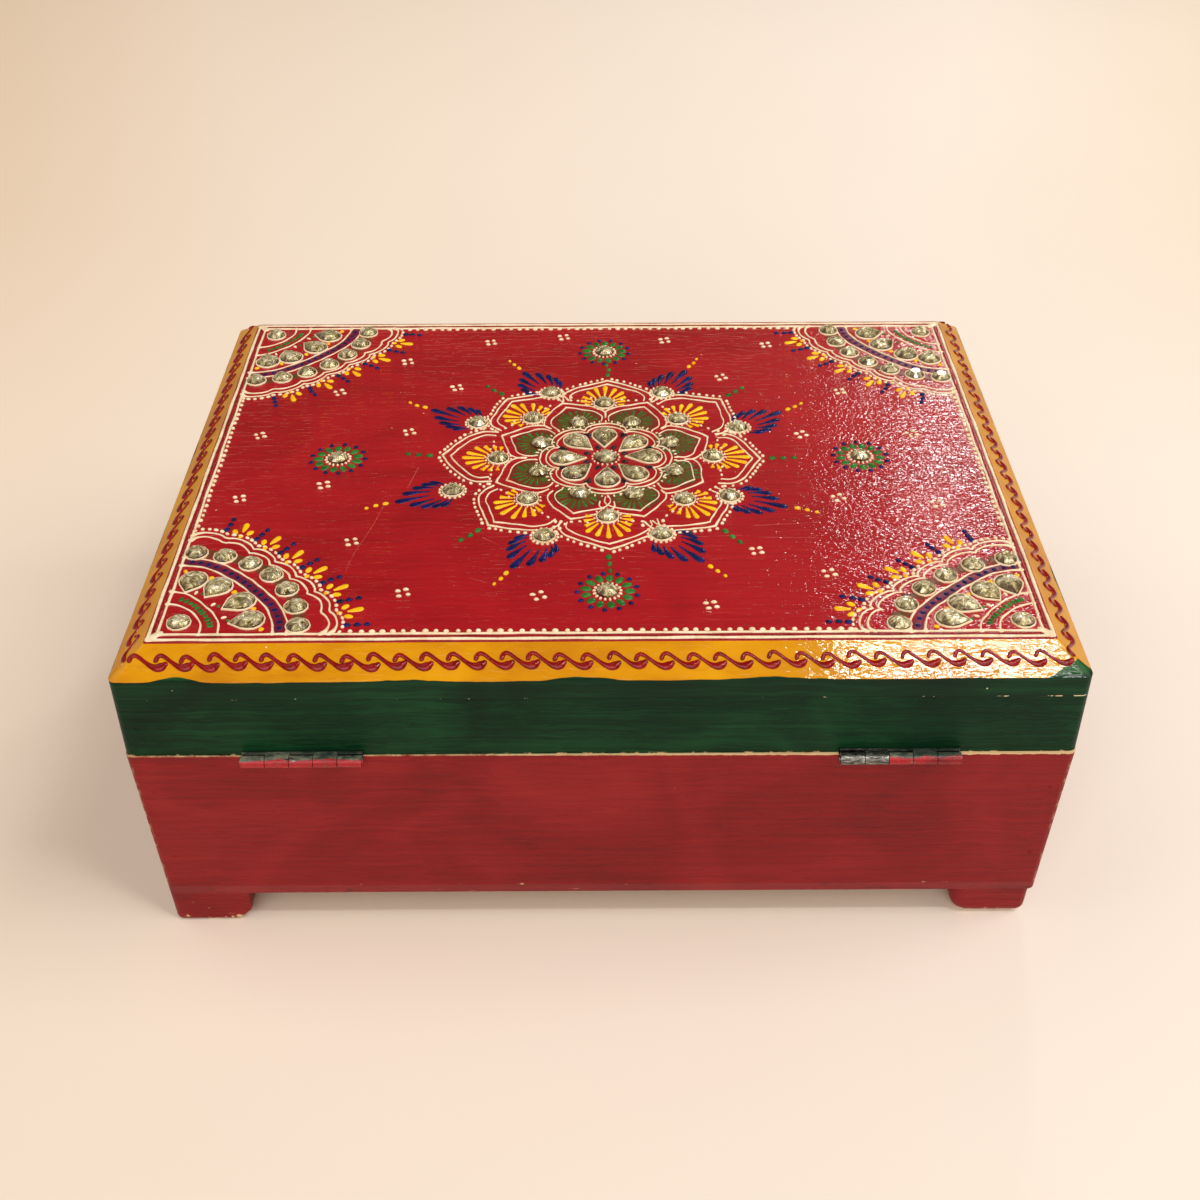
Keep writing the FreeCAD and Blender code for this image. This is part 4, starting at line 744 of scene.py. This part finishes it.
INNER_PETAL = ((22.4, 9.4, 0.5), (25.4, 10.2, 0.5), (29.2, 8.4, 0.5), (32.6, 4.4, 0.5),
               (35.8, 0, 0.65))
INNER_PETAL_LINING = ((20.4, 7.2, 0.42), (23.4, 8.3, 0.42), (27.0, 7.1, 0.42),
                      (29.8, 3.8, 0.42), (32.7, 0, 0.55))
OUTER_PETAL = ((33.9, 14.0, 0.6), (37.9, 14.3, 0.55), (41.8, 12.1, 0.55), (45.7, 6.8, 0.55),
               (49.5, 0, 0.75))
OUTER_PETAL_LINING = ((34.6, 11.9, 0.45), (37.6, 12.0, 0.45), (40.8, 10.0, 0.45),
                      (43.9, 5.5, 0.45), (47.0, 0, 0.6))
OUTER_PETAL_TIP = 49.3
# Beads behind the outer petals, kept within a reach
VALLEY_BEADS = ((36.9, 11.6, 0.4), (34.3, 7.4, 0.4), (37.3, 0, 0.4), (34.3, -7.4, 0.4),
                (36.9, -11.6, 0.4))
VALLEY_REACH = 36.6
# How far each petal reaches, and how far it leans in degrees, going round from angle zero
INNER_REACH_SHARES = (0.985, 0.97, 0.94, 0.89, 0.95, 1.0, 1.0, 0.97)
INNER_LEANS = (0, 5, -4, -3, -2, 0, 0, 0)
OUTER_REACH_SHARES = (1.01, 1.0, 0.975, 0.975, 0.945, 1.03, 0.96, 0.965)
OUTER_LEANS = (-2, 2, 1, -5, -1, -2, -1, -4)
SCALLOP_LINES = ((15.4, 18.2, 0.42), (17.1, 20.1, 0.5))
FRINGE_RADII = (18.6, 21.4)
LOBE_STEPS = 14
WASH_POINTS = 24


def petal_line(knots, angle, reach):
    """Both sides of a pointed petal in one path; its tip reaches further or less far."""
    root = knots[0][0]
    tip = knots[-1][0]
    longer = (reach - 1) * tip / (tip - root)
    drawn = [(u + longer * (u - root), v, width) for u, v, width in knots]
    side = smooth(drawn)
    other = [(u, -v, width) for u, v, width in reversed(side[:-1])]
    return by_hand(moved(side + other, flower, angle))


def scallop(valley, lobe, width):
    """Closed line of eight round lobes."""
    path = []
    for k in range(PETALS * LOBE_STEPS + 1):
        angle = STEP * k / LOBE_STEPS
        swell = sqrt(abs(cos(PETALS / 2 * angle)))
        path.append((*polar(flower, valley + (lobe - valley) * swell, angle), width))
    return path


def fan_patch(origin, angle, long_reach, short_reach):
    """Outline of a wash brushed out from a stone, longest along an angle."""
    outline = []
    for k in range(WASH_POINTS):
        turn = FULL_TURN * k / WASH_POINTS
        forward = (1 + cos(turn)) / 2
        reach = short_reach + (long_reach - short_reach) * forward ** 0.6
        reach *= 1.0 if cos(turn) > -0.4 else 0.75
        outline.append(polar(origin, reach + draw(-0.3, 0.3), angle + turn))
    return outline


def flower_heart():
    """Drops round the middle stone, dark dots between them and the scalloped border."""
    for stone in stone_outlines("petal_drop_stones"):
        ring_round(stone, 0.45, 0.5)
    beads_round(stone_outlines("centre_stone")[0], 0.7, 0.7, 1.5)
    for k in range(PETALS):
        angle = STEP * (k + 0.5)
        dark.bead(polar(flower, 6.2, angle), 2.2, 1.7, angle, 0.6)
        knots = [(12.4, 0, 0.5), (13.6, 0, 1.5), (14.4, 0, 2.6)]
        dark.stroke(moved(knots, flower, angle), 0.3)
    for line in SCALLOP_LINES:
        lines.stroke(by_hand(scallop(*line), 0.1))
    for x, y, _heading in even_points(scallop(*FRINGE_RADII, 0.5), 1.9):
        angle = atan2(y - flower.y, x - flower.x) + draw(-0.2, 0.2)
        beads.bead((x, y), draw(0.9, 1.5), 0.6, angle, 0.35)


def inner_petals():
    """Pointed petals washed green round a stone."""
    for k, (reach_share, lean) in enumerate(zip(INNER_REACH_SHARES, INNER_LEANS)):
        middle = nearest("inner_petal_stones", STEP * (k + 0.5))[0]
        angle = STEP * (k + 0.5) + radians(lean)
        washes.patch(fan_patch(middle, angle, 8.6, 5.6), middle, 0.05)
        for line in (INNER_PETAL, INNER_PETAL_LINING):
            lines.stroke(petal_line(line, angle, reach_share))
        for share in even_shares(13):
            turn = angle + share * 1.8 + draw(-0.06, 0.06)
            reach = 8.2 - 2.4 * abs(share) + draw(-0.5, 0.4)
            teardrop(green, middle, turn, 3.5, reach, draw(0.7, 1.15), 0.12)
        for share in (-0.55, -0.3, 0.3, 0.55):
            turn = angle + pi + share * 2
            beads.bead(polar(middle, 3.9, turn), 1.3, 0.55, turn, 0.3)


def outer_petals():
    """Larger petals with a fan of yellow strokes, edged with beads."""
    for k, (reach_share, lean) in enumerate(zip(OUTER_REACH_SHARES, OUTER_LEANS)):
        stone = nearest("outer_petal_stones", STEP * k)
        angle = STEP * k + radians(lean)
        edge = petal_line(OUTER_PETAL, angle, reach_share)
        lines.stroke(edge)
        lines.stroke(petal_line(OUTER_PETAL_LINING, angle, reach_share))
        beads_along(edge, 2.1, 1.05, 1.15, 1.45)
        ring_round(stone, 0.35, 0.5)
        beads_round(stone, 1.0, 0.5, 1.7, 1.6)
        for share in even_shares(11):
            turn = angle + share * 1.65 + draw(-0.04, 0.04)
            reach = 11.2 - 4.2 * abs(share) ** 1.2 + draw(-0.4, 0.4)
            teardrop(yellow, stone[0], turn, 4.5, reach, 1.75 - 0.3 * abs(share), 0.42)
        for j in range(3):
            out = OUTER_PETAL_TIP * reach_share + 4 + 3.3 * j
            place = moved([(out, draw(-0.5, 0.5))], flower, angle)[0]
            green.bead(place, 2.3 - 0.2 * j, 1.8 - 0.2 * j, angle, 0.6)
    for k in range(PETALS):
        row = smooth(moved(VALLEY_BEADS, flower, STEP * (k + 0.5)), 4)
        for x, y, heading in even_points(row, 2.5):
            if hypot(x - flower.x, y - flower.y) < VALLEY_REACH:
                beads.bead((x, y), 1.1, 0.8, heading, 0.4)


def heading_from_flower(stone):
    return atan2(stone[0].y - flower.y, stone[0].x - flower.x) % FULL_TURN


def nearest(name, angle):
    """The stone of a ring that lies nearest an angle about the flower's centre."""
    def off(stone):
        return abs(remainder(heading_from_flower(stone) - angle, FULL_TURN))
    return min(stone_outlines(name), key=off)


# How far each leaf leans away from straight outwards, in degrees, going round from angle zero
LEAF_LEANS = (-2, -7, 19, 12, 12, -4, 10, -2)
# Width of a leaf's stroke at shares of its length
LEAF_WIDTHS = ((0, 0.2), (0.4, 0.42), (0.75, 0.85), (1, 1.0))


def leaf_sprays():
    """Navy feathers outside the flower, each with three yellow dots past its tip."""
    ring = sorted(stone_outlines("leaf_spray_stones"), key=heading_from_flower)
    for stone, lean in zip(ring, LEAF_LEANS):
        middle = stone[0]
        angle = heading_from_flower(stone) + radians(lean)
        ring_round(stone, 0.25, 0.4)
        beads_round(stone, 0.95, 0.95, 1.55)
        for share in even_shares(9):
            reach = 16.2 - 8.6 * abs(share) ** 0.8 + draw(-0.3, 0.3)
            start = 4.2 + 3.2 * (1 - abs(share))
            fat = 2.5 - 0.5 * abs(share)
            knots = []
            for along, width in LEAF_WIDTHS:
                swing = share * 0.98 * (1.3 - 0.3 * along)
                place = polar((0, 0), start + along * (reach - start), swing)
                knots.append((*place, width * fat))
            navy.stroke(smooth(moved(knots, middle, angle), 5), 0.35)
        for j in range(3):
            place = moved([(20.2 + 2.9 * j, draw(-0.3, 0.3))], middle, angle)[0]
            yellow.bead(place, 2.0 - 0.3 * j, 1.5 - 0.25 * j, angle, 0.5)


def rosettes():
    """Small flowers of green petals and navy dots round a stone."""
    for stone in stone_outlines("rosette_stones"):
        beads_round(stone, 0.7, 0.75, 1.35, 1.5)
        first = draw(0, 1)
        for j in range(13):
            angle = FULL_TURN * (j + first) / 13
            green.bead(polar(stone[0], 6.0, angle), draw(2.9, 3.5), draw(2.0, 2.5), angle, 0.45)
            angle += FULL_TURN / 26
            navy.bead(polar(stone[0], 8.2, angle), 1.7, 1.4, angle, 0.45)


# The corner fans

FAN_CORNERS = ((-1, -1), (-1, 1), (1, -1), (1, 1))
SQUEEZED_FAN = (-1, 1)
SQUEEZED_SHARES = (1.03, 0.87)
SQUEEZED_DIAGONAL_SHARE = 0.97
WIDE_FAN = (1, 1)
# A line's distance from the frame's corner along X and along Y, and the share by which it is
# flattened halfway between
HEART_LINE = (10.8, 13.4, 0.03)
DASH_ROW = (13.4, 16.2, 0.07)
INNER_ARC = (15.6, 18.8, 0.08)
BAND_INNER_LINE = (29.8, 31.0, 0.085)
BAND_MIDDLE = (31.6, 32.8, 0.085)
BAND_OUTER_LINE = (33.6, 34.7, 0.08)
SCALLOP_INNER = (42.6, 43.2, 0.1)
SCALLOP_OUTER = (44.8, 45.4, 0.1)
FAN_BEADS = (46.8, 47.4, 0.1)
FAN_DOTS = (49.4, 50.0, 0.1)
LOBE_RISE = 1.9


def fan_point(corner, line, angle, further=0.0):
    """Point on a fan's line, at an angle from the frame's long side."""
    start, end, flat = line
    bulge = sin(2 * angle) ** 2
    radius = (start + (end - start) * angle / QUARTER) * (1 - flat * bulge) + further
    along_x, along_y = polar((0, 0), radius, angle)
    if corner == SQUEEZED_FAN:
        squeeze = 1 - (1 - SQUEEZED_DIAGONAL_SHARE) * bulge
        along_x *= SQUEEZED_SHARES[0] * squeeze
        along_y *= SQUEEZED_SHARES[1] * squeeze
    return corner[0] * (FRAME_X - along_x), corner[1] * (FRAME_Y - along_y)


def fan_heading(corner, line, angle):
    """Direction away from the corner at a point of a line."""
    near = fan_point(corner, line, angle)
    far = fan_point(corner, line, angle, 1.0)
    return atan2(far[1] - near[1], far[0] - near[0])


def fan_arc(corner, line, width, lobes=0, rise=0.0):
    """Arc of a fan, or a row of lobes, with thick feet on the frame."""
    path = []
    count = 66
    for k in range(count + 1):
        angle = QUARTER * k / count
        swell = rise * sqrt(abs(sin(lobes * 2 * angle))) if lobes else 0.0
        foot = 1 + 1.6 * max(0.0, 1 - min(k, count - k) / 2.5)
        path.append((*fan_point(corner, line, angle, swell), width * foot))
    return path


def fan_stones(kind, corner):
    """The stones of one kind that belong to a corner."""
    return [stone for stone in stone_outlines(f"corner_{kind}_stones")
            if stone[0].x * corner[0] > 0 and stone[0].y * corner[1] > 0]


def fan_band(corner):
    """Navy dashes on a plum band between two lines."""
    row = [(*fan_point(corner, BAND_MIDDLE, QUARTER * k / 40), 3.2) for k in range(1, 40)]
    plum.stroke(row, 0.06)
    for x, y, heading in even_points(row, 2.75):
        navy.bead((x, y), draw(1.3, 1.6), draw(1.5, 1.8), heading, 0.3)


def fan_dashes(corner):
    """Green dashes between the two small arcs."""
    row = [fan_point(corner, DASH_ROW, QUARTER * (0.14 + 0.76 * k / 30)) for k in range(31)]
    for x, y, heading in even_points(row, 1.5):
        green.bead((x, y), 1.35, draw(1.5, 2.2), heading, 0.3)


def fan_dots(corner, count):
    """Rows of three navy dots outside a fan, with yellow sprigs between them."""
    step = QUARTER / (count + 0.25)
    for k in range(count):
        angle = step * (k + 0.36)
        heading = fan_heading(corner, FAN_DOTS, angle)
        for j in range(3):
            x, y = fan_point(corner, FAN_DOTS, angle, 2.5 * j)
            place = (x + draw(-0.2, 0.2), y + draw(-0.2, 0.2))
            navy.bead(place, 2.3 - 0.2 * j, 1.8 - 0.15 * j, heading, 0.5)
    for k in range(count - 1):
        sprig(corner, step * (k + 0.9))


def sprig(corner, angle):
    """Yellow bud: one long petal outwards, one each side and a dot towards the corner."""
    centre = fan_point(corner, FAN_DOTS, angle, 0.4)
    heading = fan_heading(corner, FAN_DOTS, angle) + draw(-0.15, 0.15)
    knots = [(0.5, 0, 0.7), (2.1, 0, 1.6), (3.7, 0, 1.9)]
    yellow.stroke(smooth(moved(knots, centre, heading), 3), 0.45)
    left, right, dot = moved([(0.1, -2.2), (0.1, 2.2), (-1.9, 0)], centre, heading)
    yellow.bead(left, 2.7, 1.7, heading - 0.5, 0.45)
    yellow.bead(right, 2.7, 1.7, heading + 0.5, 0.45)
    yellow.bead(dot, 1.7, 1.3, heading, 0.4)


def fan_flecks(corner):
    """Yellow dots between the drops' fat ends, and small cream and green ones at their tips."""
    for share in (0.05, 0.28, 0.53, 0.77, 0.96):
        place = fan_point(corner, BAND_INNER_LINE, QUARTER * share, -2.9)
        yellow.bead(place, 1.7, 1.3, draw(0, 3), 0.45)
    for share in (0.27, 0.52, 0.78):
        place = fan_point(corner, INNER_ARC, QUARTER * share, 1.9)
        beads.bead(place, 1.7, 0.9, fan_heading(corner, INNER_ARC, QUARTER * share), 0.4)
        place = fan_point(corner, INNER_ARC, QUARTER * (share - 0.06), 2.6)
        green.bead(place, 1.1, 0.9, 0, 0.35)


def olive_pair(corner, stone):
    """Thin olive paint that spreads from a round stone towards its neighbours."""
    middle = stone[0]
    across = atan2(corner[1] * FRAME_Y - middle.y, corner[0] * FRAME_X - middle.x) + QUARTER
    for reach in (-3.9, 3.9):
        olive.bead(polar(middle, reach, across), draw(2.2, 2.8), 4.4, across, 0.05)


def fan(corner):
    """All of one corner fan."""
    rounds = fan_stones("round", corner)
    lobes = len(rounds)
    for line in (HEART_LINE, INNER_ARC, BAND_INNER_LINE, BAND_OUTER_LINE):
        lines.stroke(by_hand(fan_arc(corner, line, 0.6), 0.1))
    for line in (SCALLOP_INNER, SCALLOP_OUTER):
        lines.stroke(by_hand(fan_arc(corner, line, 0.62, lobes, LOBE_RISE), 0.1))
    rim = fan_arc(corner, FAN_BEADS, 0.6, lobes, LOBE_RISE * 0.8)
    for x, y, heading in even_points(rim, 2.1):
        beads.bead((x, y), draw(1.2, 1.7), draw(0.9, 1.2), heading, 0.45)
    for stone in fan_stones("drop", corner):
        ring_round(stone, 0.4, 0.5)
    for stone in rounds + fan_stones("apex", corner):
        ring_round(stone, 0.3, 0.42)
    for stone in rounds:
        olive_pair(corner, stone)
    fan_band(corner)
    fan_dashes(corner)
    fan_flecks(corner)
    fan_dots(corner, 7 if corner == WIDE_FAN else 6)


# The frame

def frame_path(inset, width, spacing=4.0):
    """Closed rectangular path at a distance from the field's edge."""
    corners = rectangle(FIELD_X - inset[0], FIELD_Y - inset[1])
    path = []
    for (x0, y0), (x1, y1) in zip(corners, corners[1:] + corners[:1]):
        count = round(hypot(x1 - x0, y1 - y0) / spacing)
        for k in range(count):
            share = k / count
            path.append((x0 + share * (x1 - x0), y0 + share * (y1 - y0), width))
    path.append(path[0])
    return path


def frame_lines():
    """Two cream lines with a dark red stripe between them, and dots along the inner one."""
    for relief, inset, width, stray, wave, height in (
            (lines, INNER_LINE, 0.8, 0.1, 30, 0.4),
            (lines, OUTER_LINE, 0.95, 0.08, 34, 0.4),
            (stripe, STRIPE_LINE, 1.15, 0.06, 30, 0.22),
            (stripe, HEM_LINE, 0.55, 0.04, 30, 0.12)):
        relief.stroke(by_hand(frame_path(inset, width), stray, wave), height)
    for corner in FAN_CORNERS:
        inner = (corner[0] * (FRAME_X - 0.4), corner[1] * (FRAME_Y - 0.4), 2.4)
        outer = (corner[0] * (FIELD_X - 1.4), corner[1] * (FIELD_Y - 1.9), 2.9)
        lines.stroke([inner, outer], 0.38)
    clear_x = FRAME_X - FAN_BEADS[0] - 2
    clear_y = FRAME_Y - FAN_BEADS[1] - 1
    for side in (-1, 1):
        x, y = side * (FRAME_X - 1.0), side * (FRAME_Y - 1.0)
        beads_along([(-clear_x, y), (clear_x, y)], 2.9, 1.4, 1.15, height=0.55)
        beads_along([(x, -clear_y), (x, clear_y)], 2.7, 1.3, 1.1, height=0.55)


# Shares of the field's half length and half depth
DOT_GROUP_SHARES = (
    (0.31, -0.84), (0.1, -0.88), (-0.19, -0.85), (-0.48, -0.81), (0.54, -0.69), (-0.34, -0.56),
    (0.71, -0.46), (0.39, -0.49), (-0.66, -0.45), (0.89, -0.16), (0.5, -0.18), (-0.53, -0.15),
    (-0.82, -0.15), (0.69, 0.16), (0.89, 0.24), (-0.59, 0.25), (-0.83, 0.29), (0.59, 0.49),
    (-0.37, 0.55), (-0.53, 0.67), (0.45, 0.76), (0.14, 0.78), (-0.25, 0.83))


def dot_groups():
    """Groups of four cream dots scattered over the field."""
    for share_x, share_y in DOT_GROUP_SHARES:
        centre = (FIELD_X * share_x, FIELD_Y * share_y)
        turn = 1.12 + draw(-0.18, 0.18)
        for k in range(4):
            place = polar(centre, 1.65 * draw(0.9, 1.1), turn + FULL_TURN * k / 4)
            beads.bead(place, draw(1.4, 1.8), draw(1.0, 1.2))


# Faint scratches through the varnish, as shares of the field's half length and half depth
SCRATCH_SHARES = (
    ((0.53, 0.28), (0.55, 0.41), (0.58, 0.56), (0.59, 0.65)),
    ((0.28, 0.47), (0.24, 0.51)),
    ((0.23, 0.42), (0.19, 0.39)),
    ((-0.21, 0.472), (-0.34, 0.464)),
    ((-0.37, 0.41), (-0.53, 0.393)),
    ((-0.38, 0.474), (-0.52, 0.481)),
    ((0.46, 0.05), (0.48, 0.18)),
    ((0.3, 0.686), (0.27, 0.704)))


def scratches():
    """Thin pale lines where the varnish is scraped."""
    for shares in SCRATCH_SHARES:
        knots = [(FIELD_X * x, FIELD_Y * y, 0.16) for x, y in shares]
        scratch_marks.stroke(smooth(knots, 6), 0.03)


# The running scroll on the bevel. Places run along and up the bevel.

SCROLL_PITCH = 6.95
SCROLL_BODY = ((0.2, 5.8, 1.25), (0.5, 6.6, 1.2), (1.3, 7.1, 1.1), (2.4, 6.7, 1.0),
               (4.0, 5.5, 0.95), (5.4, 4.5, 1.15), (6.6, 3.9, 1.6), (7.7, 3.75, 2.1),
               (8.7, 4.05, 2.2), (9.4, 4.6, 1.5))
SCROLL_LENGTH = 9.8
DRAWN_BEVEL_WIDTH = 10.4
MITRE_ROOM = 5.0


def scrolls():
    """Row of overlapping commas on each bevel, thinner towards the chest's left end."""
    for outward in ((0, 1, 0), (1, 0, 0), (0, -1, 0), (-1, 0, 0)):
        face, slope = bevel_face(outward)
        half = (board_high.y if outward[0] else board_high.x) - MITRE_ROOM
        reach = 2 * half - SCROLL_LENGTH
        count = round(reach / SCROLL_PITCH) + 1
        pitch = reach / (count - 1)
        for k in range(count):
            start = -half + pitch * k + draw(-0.25, 0.25)
            lift = slope / DRAWN_BEVEL_WIDTH * draw(0.96, 1.04)
            scroll(face, start, lift, 1.15 - 0.45 * max(0, k / (count - 1) - 0.35))


def scroll(face, start, lift, weight):
    """Comma with a hooked head above and a round, upturned end below."""
    shift = draw(-0.15, 0.15)
    knots = [(start + u, (v + shift) * lift, width * weight) for u, v, width in SCROLL_BODY]
    scroll_row.stroke(smooth(knots, 4), 0.55, face)


# Everything made

lid_top_finish()
rail_finish("rail_green_long", ALONG_X, "lid_front_rail", "lid_back_rail", "lid_corner_brads")
rail_finish("rail_green_short", ALONG_Y, "lid_left_rail", "lid_right_rail")
base_finish("base_red_long", ALONG_X, "base_front_board", "base_back_board", "base_corner_brads")
base_finish("base_red_short", ALONG_Y, "base_left_board", "base_right_board")
foot_finish("foot_red", 0.5, "foot_front_left", "foot_front_right", "foot_back_right")
foot_finish("foot_red_worn", 1.0, "foot_back_left")
plywood_finish()
velvet_finish()
hinge_finish("hinge_painted", "right", 0.0)
hinge_finish("hinge_rubbed", "left", 0.4)
metal_finish("fastener_steel", ((96, 88, 78), (150, 144, 136), (190, 186, 178)), 0.35,
             "base_hinge_screws", "lid_hinge_screws", "bottom_tacks")
metal_finish("aged_brass", ((112, 78, 34), (178, 136, 66), (214, 178, 104)), 0.3,
             "latch_hook", "latch_washer", "latch_pivot_screw", "latch_catch_peg")
foiled_glass_finish()

# Name, three tones, and where they differ from the usual the roughness, shine and bump
RAISED_PAINTS = (
    ("cream_paint", ((222, 194, 152), (240, 220, 184), (248, 234, 208))),
    ("yellow_paint", ((240, 162, 0), (252, 192, 2), (255, 212, 26))),
    ("green_paint", ((16, 76, 22), (32, 108, 34), (60, 138, 52))),
    ("navy_paint", ((7, 9, 50), (13, 19, 78), (24, 36, 108)), 0.25, 0.2, 0.02),
    ("dark_paint", ((18, 3, 10), (34, 6, 18), (56, 12, 30))),
    ("plum_paint", ((84, 10, 44), (110, 14, 52), (134, 16, 46)), 0.35),
    ("olive_paint", ((84, 60, 30), (104, 58, 30), (132, 26, 28)), 0.35),
    ("scratch_paint", ((158, 30, 38), (184, 76, 76), (212, 136, 124)), 0.5),
    ("stripe_red", ((110, 8, 14), (138, 12, 20), (158, 22, 28))),
    ("scroll_red", ((106, 3, 6), (132, 6, 9), (150, 14, 15)), 0.12, 0.32))
for paint_settings in RAISED_PAINTS:
    raised_finish(*paint_settings)
wash_finish()

flower_heart()
inner_petals()
outer_petals()
leaf_sprays()
rosettes()
for fan_corner in FAN_CORNERS:
    fan(fan_corner)
frame_lines()
dot_groups()
scratches()
scrolls()
for painted in Relief.made:
    painted.piece()


# Floor, light and camera

def floor():
    """Plain pale floor, warmer towards +X, with painted shade far behind at the sides."""
    half = 6.0
    mesh = bpy.data.meshes.new("floor")
    mesh.from_pydata([(x, y, 0) for x, y in rectangle(half, half)], [], [(0, 1, 2, 3)])
    finish = Finish("floor_paper", 0.9)
    x, y, _height = finish.axes()
    tone = finish.noise((0.004, 0.004, 0), 2)
    colour = finish.ramp(tone, ((239, 228, 217), (241, 230, 220)), (0.3, 0.7))
    colour = colour.mix(x.between(-150, 350), (244, 226, 207))
    # Painted shade: the floor is darkened far behind the chest towards the sides.
    far_painted_shade = y.between(-100, -400) * (y * 0.28 + abs(x)).between(60, 240)
    finish.set(Base_Color=colour.mix(far_painted_shade, (247, 242, 233), "MULTIPLY"))
    mesh.materials.append(finish.material)
    plane = in_scene("floor", mesh)


def light(name, kind, direction, energy, colour, **settings):
    """Light that shines along a direction."""
    data = bpy.data.lights.new(name, kind)
    data.energy = energy
    data.color = colour
    for setting, value in settings.items():
        setattr(data, setting, value)
    holder = in_scene(name, data)
    holder.rotation_euler = direction.to_track_quat("-Z", "Y").to_euler()
    return holder


def lamp(name, place, target, width, height, power):
    """Oblong lamp."""
    holder = light(name, "AREA", Vector(target) - Vector(place), power, (1.0, 0.98, 0.96),
                   shape="RECTANGLE", size=width, size_y=height)
    holder.location = place


def skylight(name, direction, width, strength):
    """Even light from one side of the room, a number of degrees wide."""
    light(name, "SUN", -Vector(direction), strength, (1.0, 0.975, 0.945),
          angle=radians(width))


def world_light():
    world = bpy.data.worlds.new("studio")
    world.use_nodes = True
    background = world.node_tree.nodes["Background"]
    background.inputs["Color"].default_value = paint(255, 225, 182)
    background.inputs["Strength"].default_value = 0.2
    bpy.context.scene.world = world


def camera(place, yaw, pitch, roll, lens):
    """Camera that looks at the chest's back, as in the photograph. Its angles are degrees."""
    data = bpy.data.cameras.new("camera")
    data.lens = lens
    data.clip_start = 0.01
    matrix = Matrix.Translation(Vector(place) * MM)
    for angle, axis in ((180 - yaw, "Z"), (90 - pitch, "X"), (roll, "Z")):
        matrix = matrix @ Matrix.Rotation(radians(angle), 4, axis)
    bpy.context.scene.camera = in_scene("camera", data)
    bpy.context.scene.camera.matrix_world = matrix


floor()
world_light()
lamp("key", (-1.8, 0.25, 2.0), (0, 0, 0.05), 1.9, 1.9, 37)
skylight("side", (0.62, -0.1, 0.78), 60, 0.6)
skylight("front", (0.1, 0.9, 0.65), 50, 1.5)
lamp("window", (-0.335, -0.85, 0.63), (-0.335, 0.01, 0.098), 0.09, 0.16, 1.0)
lamp("ceiling", (-0.335, 0.425, 1.02), (-0.335, 0.1, 0.095), 0.25, 0.05, 2.0)
camera((0.47, 407.2, 352.6), yaw=0.07, pitch=37.11, roll=-0.26, lens=47.16)
bpy.context.scene.view_settings.view_transform = "Standard"
